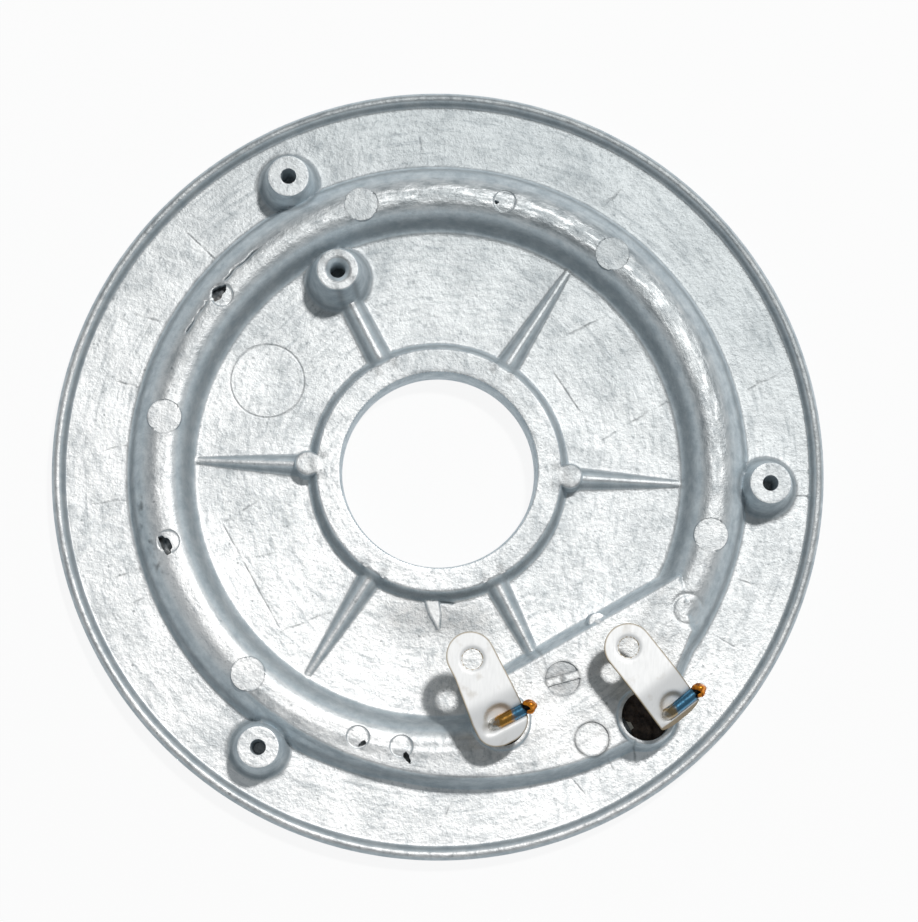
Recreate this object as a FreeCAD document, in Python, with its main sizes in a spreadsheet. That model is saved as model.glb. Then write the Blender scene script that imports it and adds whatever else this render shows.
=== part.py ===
import FreeCAD, Part
import math
import os
import Sketcher
from FreeCAD import Placement, Rotation, Vector

# A die-cast aluminium heating plate with a tubular heater cast into it.
# Lengths are millimetres, angles are degrees. The plate lies on its cooking face, underside up:
# Z rises from the cooking face and X runs from the bore's axis through one of the three screw bosses.

os.makedirs("parts", exist_ok=True)
document = FreeCAD.newDocument("heating_plate")
sizes = document.addObject("Spreadsheet::Sheet", "sizes")

X_AXIS = Vector(1, 0, 0)
Y_AXIS = Vector(0, 1, 0)
Z_AXIS = Vector(0, 0, 1)
SAME_SIZE = 0.01

# Driving dimensions

DRIVING = (
    ("plate_diameter", 165, "outside of the rim"),
    ("floor_level", 4.5, "thickness of the plain plate"),
    ("shoulder_width", 6.5, "slope round the edge of the cooking face"),
    ("shoulder_level", 2.6, "height where the slope meets the rim"),
    ("shoulder_round", 5, "rounding of the slope"),
    ("rim_level", 6.2, "top of the rim lip"),
    ("rim_width", 2.4, "width of the rim lip"),
    ("rim_draft", 0.5, "lean of the lip's inner wall"),
    ("rim_round", 0.6, "rounding of the lip"),
    ("ring_inset", 23.3, "from the rim in to the heater ring's centre line"),
    ("ridge_base_width", 13.6, "heater ridge at the floor"),
    ("ridge_crest_width", 9.2, "heater ridge at its top"),
    ("ridge_height", 7.3, "heater ridge above the floor"),
    ("ridge_crest_round", 3.8, "rounding of the ridge's top"),
    ("ridge_root_round", 2.4, "fillet at the ridge's foot"),
    ("bore_radius", 20.6, "bore for the thermostat"),
    ("bore_mouth_radius", 21.5, "bore where it widens at the hub's top"),
    ("bore_mouth_depth", 3, "height of the widening"),
    ("hub_height", 4.5, "hub above the floor"),
    ("hub_wall", 4.4, "hub's flat top across"),
    ("hub_draft", 1.9, "lean of the hub's outer wall"),
    ("hub_root_round", 1.2, "fillet at the hub's foot"),
    ("hub_edge_round", 0.6, "rounding of the hub's top"),
    ("rib_radius", 2.4, "rib's half width at the hub"),
    ("rib_tip_radius", 0.7, "rib's half width at the ridge"),
    ("boss_rib_tip_radius", 2.0, "half width of the rib that reaches the inner boss"),
    ("rib_rise", 0.7, "rib's centre line above the floor at the hub"),
    ("rib_tilt", 2, "fall of the rib's centre line"),
    ("lobe_radius", 2.7, "ejector lobe on the hub"),
    ("lobe_reach", 0.8, "lobe's centre beyond the hub's foot"),
    ("boss_inset", 12.5, "from the rim in to the screw bosses"),
    ("boss_level", 14.5, "seat of the screw bosses"),
    ("boss_top_radius", 4.4, "screw boss at its seat"),
    ("boss_foot_radius", 6.0, "screw boss at the floor"),
    ("boss_hole_radius", 1.65, "tapping hole"),
    ("boss_hole_depth", 9, "tapping hole"),
    ("inner_boss_place", 47, "inner screw boss from the bore's axis"),
    ("inner_boss_angle", 120, "inner screw boss round the bore's axis"),
    ("inner_boss_level", 16.5, "seat of the inner boss"),
    ("inner_boss_top_radius", 4.5, "inner boss at its seat"),
    ("inner_boss_foot_radius", 6.6, "inner boss at the floor"),
    ("inner_hole_radius", 1.65, "inner tapping hole"),
    ("inner_hole_depth", 10, "inner tapping hole"),
    ("inner_hole_sink", 0.9, "countersink round the inner hole"),
    ("platform_rise", 0.2, "terminal platform above the ridge's top"),
    ("platform_inset", 14.5, "from the heater ring in to the platform's straight wall"),
    ("platform_angle", -57.5, "direction that the straight wall faces away from"),
    ("platform_reach", 33, "straight wall to the right of its middle"),
    ("platform_left_reach", 16.5, "straight wall to the left of its middle"),
    ("platform_cover", 3.2, "platform outside the heater's outer leg"),
    ("platform_draft", 12, "lean of the platform's walls"),
    ("collar_rise", 1, "socket collar above the platform"),
    ("collar_top_radius", 6.2, "socket collar at its top"),
    ("collar_foot_radius", 6.9, "socket collar at the floor"),
    ("socket_radius", 5.2, "socket round a heater end"),
    ("socket_floor", 2.2, "metal under a socket"),
    ("mark_radius", 3.6, "ejector pin mark"),
    ("mark_depth", 0.25, "ejector pin mark below the ridge's top"),
    ("pit_radius", 1.6, "hole left by a pin that held the heater"),
    ("pit_depth", 2.5, "hole left by a pin that held the heater"),
    ("platform_mark_depth", 0.35, "pin mark in the platform"),
    ("outer_mark_place", 65.5, "outer platform mark from the bore's axis"),
    ("inner_mark_place", 51.5, "inner platform mark from the bore's axis"),
    ("mark_bar_width", 1.7, "bar across the inner platform mark"),
    ("sheath_radius", 3.0, "heater tube outside"),
    ("sheath_wall", 0.55, "heater tube's wall"),
    ("sheath_cover", 2.8, "metal under the heater tube"),
    ("inner_leg_inset", 6.4, "inner leg's line inside the heater ring"),
    ("inner_leg_start", -11.2, "inner heater end along its line"),
    ("inner_leg_bend", 30, "bend between the inner leg and the ring"),
    ("outer_leg_angle", -135, "where the outer leg leaves the ring"),
    ("outer_leg_gain", 9.8, "outer leg's arc radius above the ring's"),
    ("outer_leg_end", -59, "outer heater end round its arc's centre"),
    ("socket_reach", 4, "from a heater end to its socket's centre"),
    ("pin_reach", 6.5, "from a heater end to its pin's upright"),
    ("pin_radius", 1.3, "cold pin"),
    ("pin_bend", 2.2, "bends of the cold pin"),
    ("inner_pin_lean", 0, "top of the inner pin beyond its foot, away from the screw hole"),
    ("outer_pin_lean", 1.9, "top of the outer pin beyond its foot, away from the screw hole"),
    ("pin_cold_length", 20, "cold pin inside the tube"),
    ("rod_level", 22.4, "pin's level end above the cooking face"),
    ("rod_length", 8.4, "pin's level end from its upright"),
    ("bead_radius", 1.6, "braze bead"),
    ("bush_inside", 4, "ceramic bush inside the tube"),
    ("bush_outside", 0.8, "ceramic bush out of the tube"),
    ("seal_level", 8.2, "top of the sealing compound"),
    ("coil_radius", 1.65, "winding's mean radius"),
    ("coil_wire_radius", 0.3, "heating wire"),
    ("coil_turns", 100, "turns of the winding"),
    ("coil_grip", 5, "winding over the end of each pin"),
    ("coil_gap", 0.1, "space between the winding and the magnesia"),
    ("tab_level", 24.5, "top of the connector tabs"),
    ("tab_thickness", 1, "connector strip"),
    ("tab_width", 10, "connector strip"),
    ("tab_offset", 2.4, "strip's centre line from the pin's upright"),
    ("tab_hole_reach", 14, "screw hole from the pin"),
    ("tab_hole_radius", 2.1, "screw hole"),
    ("tab_crease_reach", 4.7, "crease from the pin"),
    ("tab_crease_angle", 18, "bend at the crease"),
    ("tongue_length", 4.5, "strip beyond the pin"),
    ("tongue_round", 4.4, "corners of the tongue"),
    ("inner_tongue_angle", 18, "slope of the inner tab's tongue"),
    ("outer_tongue_angle", 75, "slope of the outer tab's tongue"),
    ("window_border", 1, "strip left beside the window"),
    ("window_rise", 1.6, "window's edge above the pin"),
    ("window_arch_radius", 3, "arch of the window"),
    ("window_arch_cover", 0.8, "strip left between the arch and the crease"),
    ("window_gap", 0.1, "space between the pin and the tongue"),
    ("inner_yaw", 30, "direction of the inner pin's level end"),
    ("outer_yaw", 41, "direction of the outer pin's level end"),
)

# Dimensions that follow from the driving ones

FOLLOWING = (
    ("plate_radius", "plate_diameter / 2"),
    ("face_radius", "plate_radius - shoulder_width"),
    ("rim_inner_radius", "plate_radius - rim_width"),
    ("rim_foot_radius", "rim_inner_radius - rim_draft"),
    ("ring_radius", "plate_radius - ring_inset"),
    ("ridge_outer_radius", "ring_radius + ridge_base_width / 2"),
    ("ridge_inner_radius", "ring_radius - ridge_base_width / 2"),
    ("crest_outer_radius", "ring_radius + ridge_crest_width / 2"),
    ("crest_inner_radius", "ring_radius - ridge_crest_width / 2"),
    ("crest_level", "floor_level + ridge_height"),
    ("hub_level", "floor_level + hub_height"),
    ("hub_top_radius", "bore_mouth_radius + hub_wall"),
    ("hub_foot_radius", "hub_top_radius + hub_draft"),
    ("bore_mouth_level", "hub_level - bore_mouth_depth"),
    ("rib_start", "hub_top_radius - hub_wall / 2"),
    ("rib_level", "floor_level + rib_rise"),
    ("rib_length", "ridge_inner_radius - rib_start"),
    ("boss_rib_length", "inner_boss_place - rib_start"),
    ("boss_rib_x", "rib_start * cos(inner_boss_angle)"),
    ("boss_rib_y", "rib_start * sin(inner_boss_angle)"),
    ("lobe_place", "hub_foot_radius + lobe_reach"),
    ("boss_place", "plate_radius - boss_inset"),
    ("boss_height", "boss_level - floor_level"),
    ("inner_boss_height", "inner_boss_level - floor_level"),
    ("boss_hole_level", "boss_level - boss_hole_depth"),
    ("inner_boss_x", "inner_boss_place * cos(inner_boss_angle)"),
    ("inner_boss_y", "inner_boss_place * sin(inner_boss_angle)"),
    ("inner_hole_level", "inner_boss_level - inner_hole_depth"),
    ("inner_sink_level", "inner_boss_level - inner_hole_sink"),
    ("inner_sink_radius", "inner_hole_radius + inner_hole_sink"),
    ("platform_level", "crest_level + platform_rise"),
    ("platform_height", "platform_level - floor_level"),
    ("pin_hole_reach", "pit_depth + platform_rise"),
    ("platform_offset", "ring_radius - platform_inset"),
    ("collar_height", "platform_height + collar_rise"),
    ("mark_level", "crest_level - mark_depth"),
    ("mark_height", "mark_level - floor_level"),
    ("mark_width", "2 * mark_radius"),
    ("heater_level", "sheath_cover + sheath_radius"),
    ("sheath_bore", "sheath_radius - sheath_wall"),
    ("inner_leg_offset", "ring_radius - inner_leg_inset"),
    ("inner_end_x", "inner_leg_offset * cos(platform_angle) - inner_leg_start * sin(platform_angle)"),
    ("inner_end_y", "inner_leg_offset * sin(platform_angle) + inner_leg_start * cos(platform_angle)"),
    ("inner_heading", "platform_angle - 90"),
    ("outer_arc_radius", "ring_radius + outer_leg_gain"),
    ("platform_arc_radius", "outer_arc_radius + platform_cover"),
    ("outer_arc_x", "-outer_leg_gain * cos(outer_leg_angle)"),
    ("outer_arc_y", "-outer_leg_gain * sin(outer_leg_angle)"),
    ("outer_end_x", "outer_arc_x + outer_arc_radius * cos(outer_leg_end)"),
    ("outer_end_y", "outer_arc_y + outer_arc_radius * sin(outer_leg_end)"),
    ("outer_heading", "outer_leg_end + 90"),
    ("inner_socket_x", "inner_end_x + socket_reach * cos(inner_heading)"),
    ("inner_socket_y", "inner_end_y + socket_reach * sin(inner_heading)"),
    ("outer_socket_x", "outer_end_x + socket_reach * cos(outer_heading)"),
    ("outer_socket_y", "outer_end_y + socket_reach * sin(outer_heading)"),
    ("inner_pin_x", "inner_end_x + pin_reach * cos(inner_heading)"),
    ("inner_pin_y", "inner_end_y + pin_reach * sin(inner_heading)"),
    ("outer_pin_x", "outer_end_x + pin_reach * cos(outer_heading)"),
    ("outer_pin_y", "outer_end_y + pin_reach * sin(outer_heading)"),
    ("inner_head_x", "inner_pin_x + inner_pin_lean * sin(inner_yaw)"),
    ("inner_head_y", "inner_pin_y - inner_pin_lean * cos(inner_yaw)"),
    ("outer_head_x", "outer_pin_x + outer_pin_lean * sin(outer_yaw)"),
    ("outer_head_y", "outer_pin_y - outer_pin_lean * cos(outer_yaw)"),
    ("socket_height", "platform_level + 2 * collar_rise - socket_floor"),
    ("seal_height", "seal_level - socket_floor"),
    ("tab_length", "tab_hole_reach - tab_crease_reach"),
    ("tab_half_width", "tab_width / 2"),
    ("tab_underside", "tab_level - tab_thickness"),
    ("inner_window_edge", "-inner_pin_lean - pin_radius - window_gap"),
    ("outer_window_edge", "-outer_pin_lean - pin_radius - window_gap"),
    ("inner_leg_length", "(tab_crease_reach - inner_window_edge) / cos(tab_crease_angle)"),
    ("outer_leg_length", "(tab_crease_reach - outer_window_edge) / cos(tab_crease_angle)"),
    ("window_height", "window_rise + pin_radius + window_gap"),
    ("window_start", "tab_offset - tab_half_width + window_border"),
    ("window_arch_place", "tab_crease_reach - window_arch_radius - window_arch_cover"),
    ("inner_arch_place", "window_arch_place - inner_pin_lean"),
    ("outer_arch_place", "window_arch_place - outer_pin_lean"),
)

for row, (alias, number, meaning) in enumerate(DRIVING, start=1):
    sizes.set(f"A{row}", meaning)
    sizes.set(f"B{row}", str(number))
    sizes.setAlias(f"B{row}", alias)
for row, (alias, formula) in enumerate(FOLLOWING, start=len(DRIVING) + 1):
    sizes.set(f"A{row}", formula)
    sizes.set(f"B{row}", "=" + formula)
    sizes.setAlias(f"B{row}", alias)
document.recompute()


def size(alias):
    """The number in one named cell of the sheet."""
    return float(sizes.get(alias))


def bind(feature, links):
    """Tie properties of a feature to named cells."""
    for name, alias in links.items():
        feature.setExpression(name, f"sizes.{alias}")


def unit(angle):
    """Level direction at an angle from X."""
    return Vector(math.cos(math.radians(angle)), math.sin(math.radians(angle)), 0)


def origin_item(body, role):
    """A plane or an axis of a body's own origin."""
    return next(item for item in body.Origin.OriginFeatures if item.Role == role)


# Sketches and features shared by the pieces

def new_sketch(body, name, role, level=None):
    """An empty sketch on an origin plane, lifted to a named level."""
    sketch = body.newObject("Sketcher::SketchObject", name)
    sketch.AttachmentSupport = [(origin_item(body, role), "")]
    sketch.MapMode = "FlatFace"
    if level:
        bind(sketch, {"AttachmentOffset.Base.z": level})
    return sketch


def fix_point(sketch, geometry, end, across, up):
    """Hold a point at two distances from the origin, each a number and the expression behind it."""
    for kind, (number, expression) in (("DistanceX", across), ("DistanceY", up)):
        if expression is None:
            sketch.addConstraint(Sketcher.Constraint("PointOnObject", geometry, end, -1))
            continue
        index = sketch.addConstraint(Sketcher.Constraint(kind, -1, 1, geometry, end, number))
        sketch.setExpression(f"Constraints[{index}]", expression)


def close_loop(sketch, corners, arcs=()):
    """Join fixed corners with lines; an arc entry bulges one side about a centre with a named radius."""
    bulges = {side: (centre, radius) for side, centre, radius in arcs}
    count = len(corners)
    points = [Vector(across[0], up[0], 0) for across, up in corners]
    for side in range(count):
        start, end = points[side], points[(side + 1) % count]
        if side in bulges:
            centre, radius = bulges[side]
            middle = (start + end) / 2 - centre
            middle = centre + middle.normalize() * size(radius)
            sketch.addGeometry(Part.Arc(start, middle, end))
        else:
            sketch.addGeometry(Part.LineSegment(start, end))
    for side in range(count):
        sketch.addConstraint(Sketcher.Constraint("Coincident", side, 2, (side + 1) % count, 1))
    for side, (across, up) in enumerate(corners):
        fix_point(sketch, side, 1, across, up)
    for side, (centre, radius) in bulges.items():
        index = sketch.addConstraint(Sketcher.Constraint("Radius", side, size(radius)))
        sketch.setExpression(f"Constraints[{index}]", f"sizes.{radius}")


def named(alias):
    """A sketch coordinate that is one cell; None lies on the sketch's own axis."""
    return (0.0, None) if alias is None else (size(alias), f"sizes.{alias}")


def add_circles(sketch, centres, radius):
    """Equal circles at polar places, each a named radius and an angle."""
    for place, angle in centres:
        middle = unit(angle) * size(place)
        index = sketch.addGeometry(Part.Circle(middle, Z_AXIS, size(radius)))
        fix_point(sketch, index, 3, (middle.x, f"sizes.{place} * cos({angle})"),
                  (middle.y, f"sizes.{place} * sin({angle})"))
        rule = sketch.addConstraint(Sketcher.Constraint("Radius", index, size(radius)))
        sketch.setExpression(f"Constraints[{rule}]", f"sizes.{radius}")


def solid_feature(body, kind, name, links, place=Placement()):
    """A solid primitive added to a body or cut from it."""
    feature = body.newObject("PartDesign::" + kind, name)
    feature.Placement = place
    bind(feature, links)
    document.recompute()
    return feature


def repeat_round(body, name, feature, count):
    """Copies of a feature spaced evenly round the bore's axis."""
    pattern = body.newObject("PartDesign::PolarPattern", name)
    pattern.Originals = [feature]
    pattern.Axis = (origin_item(body, "Z_Axis"), [""])
    pattern.Angle = 360
    pattern.Occurrences = count
    body.Tip = pattern
    document.recompute()


def round_rings(body, name, radius, rings):
    """Round circular edges, each found by its named radius and level."""
    base = body.Tip
    wanted = [(size(across), 0.0 if level is None else size(level)) for across, level in rings]
    edges = []
    for number, edge in enumerate(base.Shape.Edges, start=1):
        if not isinstance(edge.Curve, Part.Circle):
            continue
        for across, level in wanted:
            if max(abs(edge.Curve.Radius - across), abs(edge.Curve.Center.z - level)) < SAME_SIZE:
                edges.append(f"Edge{number}")
    fillet = body.newObject("PartDesign::Fillet", name)
    fillet.Base = (base, edges)
    bind(fillet, {"Radius": radius})
    document.recompute()


# Casting: disc, rim lip, heater ridge and hub, turned about the bore's axis

casting = document.addObject("PartDesign::Body", "casting_blank")
profile = new_sketch(casting, "casting_profile", "XZ_Plane")
PROFILE_CORNERS = (
    ("bore_radius", None),
    ("face_radius", None),
    ("plate_radius", "shoulder_level"),
    ("plate_radius", "rim_level"),
    ("rim_inner_radius", "rim_level"),
    ("rim_foot_radius", "floor_level"),
    ("ridge_outer_radius", "floor_level"),
    ("crest_outer_radius", "crest_level"),
    ("crest_inner_radius", "crest_level"),
    ("ridge_inner_radius", "floor_level"),
    ("hub_foot_radius", "floor_level"),
    ("hub_top_radius", "hub_level"),
    ("bore_mouth_radius", "hub_level"),
    ("bore_radius", "bore_mouth_level"),
)
close_loop(profile, [(named(across), named(up)) for across, up in PROFILE_CORNERS])
turned = casting.newObject("PartDesign::Revolution", "turned_disc")
turned.Profile = profile
turned.ReferenceAxis = (origin_item(casting, "Z_Axis"), [""])
turned.Angle = 360
document.recompute()

round_rings(casting, "shoulder_rounding", "shoulder_round",
            [("plate_radius", "shoulder_level"), ("face_radius", None)])
round_rings(casting, "rim_rounding", "rim_round",
            [("plate_radius", "rim_level"), ("rim_inner_radius", "rim_level"),
             ("rim_foot_radius", "floor_level")])
round_rings(casting, "ridge_crest_rounding", "ridge_crest_round",
            [("crest_outer_radius", "crest_level"), ("crest_inner_radius", "crest_level")])
round_rings(casting, "ridge_root_fillet", "ridge_root_round",
            [("ridge_outer_radius", "floor_level"), ("ridge_inner_radius", "floor_level")])
round_rings(casting, "hub_root_fillet", "hub_root_round", [("hub_foot_radius", "floor_level")])
round_rings(casting, "hub_edge_rounding", "hub_edge_round",
            [("hub_top_radius", "hub_level"), ("bore_mouth_radius", "hub_level")])

# Casting: ribs and ejector lobes on the hub

RIB_COUNT = 6
LOBE_COUNT = 2
rib = solid_feature(casting, "AdditiveCone", "rib",
                    {"Radius1": "rib_radius", "Radius2": "rib_tip_radius", "Height": "rib_length",
                     "Placement.Base.x": "rib_start", "Placement.Base.z": "rib_level"},
                    Placement(Vector(), Rotation(Y_AXIS, 90 + size("rib_tilt"))))
repeat_round(casting, "ribs", rib, RIB_COUNT)
boss_rib_turn = Rotation(Z_AXIS, size("inner_boss_angle")) * Rotation(Y_AXIS, 90 + size("rib_tilt"))
solid_feature(casting, "AdditiveCone", "boss_rib",
              {"Radius1": "rib_radius", "Radius2": "boss_rib_tip_radius", "Height": "boss_rib_length",
               "Placement.Base.x": "boss_rib_x", "Placement.Base.y": "boss_rib_y",
               "Placement.Base.z": "rib_level"},
              Placement(Vector(), boss_rib_turn))
lobe = solid_feature(casting, "AdditiveCylinder", "hub_lobe",
                     {"Radius": "lobe_radius", "Height": "hub_level", "Placement.Base.x": "lobe_place"})
repeat_round(casting, "hub_lobes", lobe, LOBE_COUNT)

# Casting: terminal platform over the two heater ends, and a collar round each socket

platform = new_sketch(casting, "platform_outline", "XY_Plane", "platform_level")
PLATFORM_ARC_START = -130
PLATFORM_ARC_END = -56
PLATFORM_RETURN = ("crest_outer_radius", -30)
PLATFORM_CREST_ANGLES = (-78, -105)


def wall_corner(sign, reach):
    """A corner of the platform's straight wall, a named reach to the right or left of its middle."""
    facing = unit(size("platform_angle"))
    along = unit(size("platform_angle") + 90) * sign
    point = facing * size("platform_offset") + along * size(reach)
    across = "sizes.platform_offset * cos(sizes.platform_angle)"
    across += f" - {sign} * sizes.{reach} * sin(sizes.platform_angle)"
    up = "sizes.platform_offset * sin(sizes.platform_angle)"
    up += f" + {sign} * sizes.{reach} * cos(sizes.platform_angle)"
    return (point.x, across), (point.y, up)


def arc_corner(angle):
    """A corner on the platform's outer arc, which keeps its cover outside the heater's outer leg."""
    point = outer_arc_centre + unit(angle) * size("platform_arc_radius")
    across = f"sizes.outer_arc_x + sizes.platform_arc_radius * cos({angle})"
    up = f"sizes.outer_arc_y + sizes.platform_arc_radius * sin({angle})"
    return (point.x, across), (point.y, up)


def polar_corner(place, angle):
    """A corner at a named radius from the bore's axis."""
    point = unit(angle) * size(place)
    return (point.x, f"sizes.{place} * cos({angle})"), (point.y, f"sizes.{place} * sin({angle})")


outer_arc_centre = Vector(size("outer_arc_x"), size("outer_arc_y"), 0)
crest_corners = [polar_corner("ring_radius", angle) for angle in PLATFORM_CREST_ANGLES]
close_loop(platform,
           [wall_corner(1, "platform_reach"), wall_corner(-1, "platform_left_reach"), *crest_corners,
            arc_corner(PLATFORM_ARC_START), arc_corner(PLATFORM_ARC_END), polar_corner(*PLATFORM_RETURN)],
           [(2 + len(crest_corners), outer_arc_centre, "platform_arc_radius")])
block = casting.newObject("PartDesign::Pad", "platform")
block.Profile = platform
block.Reversed = True
bind(block, {"Length": "platform_height", "TaperAngle": "platform_draft"})
document.recompute()

for end in ("inner", "outer"):
    solid_feature(casting, "AdditiveCone", f"{end}_collar",
                  {"Radius1": "collar_foot_radius", "Radius2": "collar_top_radius",
                   "Height": "collar_height", "Placement.Base.x": f"{end}_socket_x",
                   "Placement.Base.y": f"{end}_socket_y", "Placement.Base.z": "floor_level"})

# Casting: screw bosses

BOSS_COUNT = 3
boss = solid_feature(casting, "AdditiveCone", "boss",
                     {"Radius1": "boss_foot_radius", "Radius2": "boss_top_radius",
                      "Height": "boss_height", "Placement.Base.x": "boss_place",
                      "Placement.Base.z": "floor_level"})
repeat_round(casting, "bosses", boss, BOSS_COUNT)
solid_feature(casting, "AdditiveCone", "inner_boss",
              {"Radius1": "inner_boss_foot_radius", "Radius2": "inner_boss_top_radius",
               "Height": "inner_boss_height", "Placement.Base.x": "inner_boss_x",
               "Placement.Base.y": "inner_boss_y", "Placement.Base.z": "floor_level"})

# Casting: flat pin marks and pin holes along the ridge, and two marks on the platform

MARK_ANGLES = (-11, 54, 109, 172, 230)
PIT_ANGLES = (25, 79, 144, 198, 256, 265)
OUTER_MARK_ANGLE = -58
INNER_MARK_ANGLE = -57
MARK_BAR_TURN = 18


def pad_circles(name, start, length, centres, radius, kind="Pad", cut_upward=False):
    """Round pads raised on a named level, or round pockets cut down or up from it."""
    sketch = new_sketch(casting, name + "_places", "XY_Plane", start)
    add_circles(sketch, centres, radius)
    feature = casting.newObject("PartDesign::" + kind, name)
    feature.Profile = sketch
    feature.Reversed = cut_upward
    bind(feature, {"Length": length})
    document.recompute()


ridge_marks = [("ring_radius", angle) for angle in MARK_ANGLES]
ridge_pits = [("ring_radius", angle) for angle in PIT_ANGLES]
platform_marks = [("outer_mark_place", OUTER_MARK_ANGLE), ("inner_mark_place", INNER_MARK_ANGLE)]
pad_circles("mark_pads", "floor_level", "mark_height", ridge_marks, "mark_radius")
pad_circles("mark_recesses", "mark_level", "ridge_height", ridge_marks, "mark_radius",
            "Pocket", cut_upward=True)
pad_circles("pin_holes", "platform_level", "pin_hole_reach", ridge_pits, "pit_radius", "Pocket")
pad_circles("platform_marks", "platform_level", "platform_mark_depth", platform_marks,
            "mark_radius", "Pocket")
bar_middle = unit(INNER_MARK_ANGLE) * size("inner_mark_place")
bar_corner = bar_middle - unit(MARK_BAR_TURN) * size("mark_radius")
bar_corner -= unit(MARK_BAR_TURN + 90) * size("mark_bar_width") / 2
solid_feature(casting, "AdditiveBox", "mark_bar",
              {"Length": "mark_width", "Width": "mark_bar_width", "Height": "platform_level"},
              Placement(bar_corner, Rotation(Z_AXIS, MARK_BAR_TURN)))

# Casting: sockets and screw holes

for end in ("inner", "outer"):
    solid_feature(casting, "SubtractiveCylinder", f"{end}_socket",
                  {"Radius": "socket_radius", "Height": "socket_height",
                   "Placement.Base.x": f"{end}_socket_x", "Placement.Base.y": f"{end}_socket_y",
                   "Placement.Base.z": "socket_floor"})
boss_hole = solid_feature(casting, "SubtractiveCylinder", "boss_hole",
                          {"Radius": "boss_hole_radius", "Height": "boss_hole_depth",
                           "Placement.Base.x": "boss_place", "Placement.Base.z": "boss_hole_level"})
repeat_round(casting, "boss_holes", boss_hole, BOSS_COUNT)
solid_feature(casting, "SubtractiveCylinder", "inner_boss_hole",
              {"Radius": "inner_hole_radius", "Height": "inner_hole_depth",
               "Placement.Base.x": "inner_boss_x", "Placement.Base.y": "inner_boss_y",
               "Placement.Base.z": "inner_hole_level"})
solid_feature(casting, "SubtractiveCone", "inner_boss_sink",
              {"Radius1": "inner_hole_radius", "Radius2": "inner_sink_radius",
               "Height": "inner_hole_sink", "Placement.Base.x": "inner_boss_x",
               "Placement.Base.y": "inner_boss_y", "Placement.Base.z": "inner_sink_level"})

# Heater: a straight leg from the inner end, then the ring, then an arc out to the outer end


def heater_line(inner_trim, outer_trim):
    """The heater's centre line, shortened at its inner and outer ends."""
    facing = unit(size("platform_angle"))
    along = unit(size("platform_angle") + 90)
    offset = size("inner_leg_offset")
    ring = size("ring_radius")
    bend = size("inner_leg_bend")
    run = math.sqrt((ring - bend) ** 2 - (offset - bend) ** 2)
    bend_centre = facing * (offset - bend) + along * run
    leg_start = facing * offset + along * (size("inner_leg_start") + inner_trim)
    leg_end = facing * offset + along * run
    outward = Vector(bend_centre).normalize()
    bend_middle = bend_centre + (facing + outward).normalize() * bend
    ring_start = outward * ring
    ring_turn = math.degrees(math.atan2(outward.y, outward.x))
    leave = size("outer_leg_angle")
    ring_middle = unit((ring_turn + leave + 360) / 2) * ring
    ring_end = unit(leave) * ring
    radius = size("outer_arc_radius")
    last = size("outer_leg_end") - math.degrees(outer_trim / radius)
    arc_middle = outer_arc_centre + unit((leave + last) / 2) * radius
    arc_end = outer_arc_centre + unit(last) * radius
    lift = Vector(0, 0, size("heater_level"))
    edges = [Part.LineSegment(leg_start + lift, leg_end + lift),
             Part.Arc(leg_end + lift, bend_middle + lift, ring_start + lift),
             Part.Arc(ring_start + lift, ring_middle + lift, ring_end + lift),
             Part.Arc(ring_end + lift, arc_middle + lift, arc_end + lift)]
    return join(edges)


def join(edges):
    """One wire through curves that follow each other."""
    return Part.Wire([edge.toShape() for edge in edges])


def rod_along(wire, radius):
    """A round bar whose centre line is the wire."""
    first = wire.OrderedEdges[0]
    start = first.valueAt(first.FirstParameter)
    heading = first.tangentAt(first.FirstParameter)
    section = Part.Wire(Part.Circle(start, heading, radius).toShape())
    return wire.makePipeShell([section], True, False)


def add_piece(name, shape):
    """A document object that holds a swept or wound shape."""
    piece = document.addObject("Part::Feature", name)
    piece.Label = name
    piece.Shape = shape
    return piece


def cut_piece(name, base, tools):
    """A document object that is one piece less others."""
    for number, tool in enumerate(tools, start=1):
        last = number == len(tools)
        cut = document.addObject("Part::Cut", name if last else f"{name}_step_{number}")
        cut.Base = base
        cut.Tool = tool
        base = cut
    document.recompute()
    return cut


channel = add_piece("heater_channel", rod_along(heater_line(0, 0), size("sheath_radius")))
core = add_piece("sheath_core", rod_along(heater_line(0, 0), size("sheath_bore")))
plate_casting = cut_piece("plate_casting", casting, [channel])
heater_sheath = cut_piece("heater_sheath", channel, [core])

# Cold pins, with the end that shows bent up through the socket and over under its tab


def bend_arc(corner, before, after, radius):
    """The arc that rounds the corner between two directions."""
    half_turn = before.getAngle(after) / 2
    reach = radius * math.tan(half_turn)
    middle = corner + (after - before).normalize() * radius * (1 / math.cos(half_turn) - 1)
    return Part.Arc(corner - before * reach, middle, corner + after * reach)


def mouth_edges(end, inside, outside):
    """Centre line through a tube mouth, from inside the tube to a length out of it."""
    heading = unit(size(f"{end}_heading"))
    mouth = Vector(size(f"{end}_end_x"), size(f"{end}_end_y"), size("heater_level"))
    out = Part.LineSegment(mouth, mouth + heading * outside)
    if end == "inner":
        return [Part.LineSegment(mouth - heading * inside, mouth), out]
    radius = size("outer_arc_radius")
    centre = outer_arc_centre + Vector(0, 0, size("heater_level"))
    last = size("outer_leg_end")
    first = last - math.degrees(inside / radius)
    arc = Part.Arc(centre + unit(first) * radius, centre + unit((first + last) / 2) * radius, mouth)
    return [arc, out]


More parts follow.
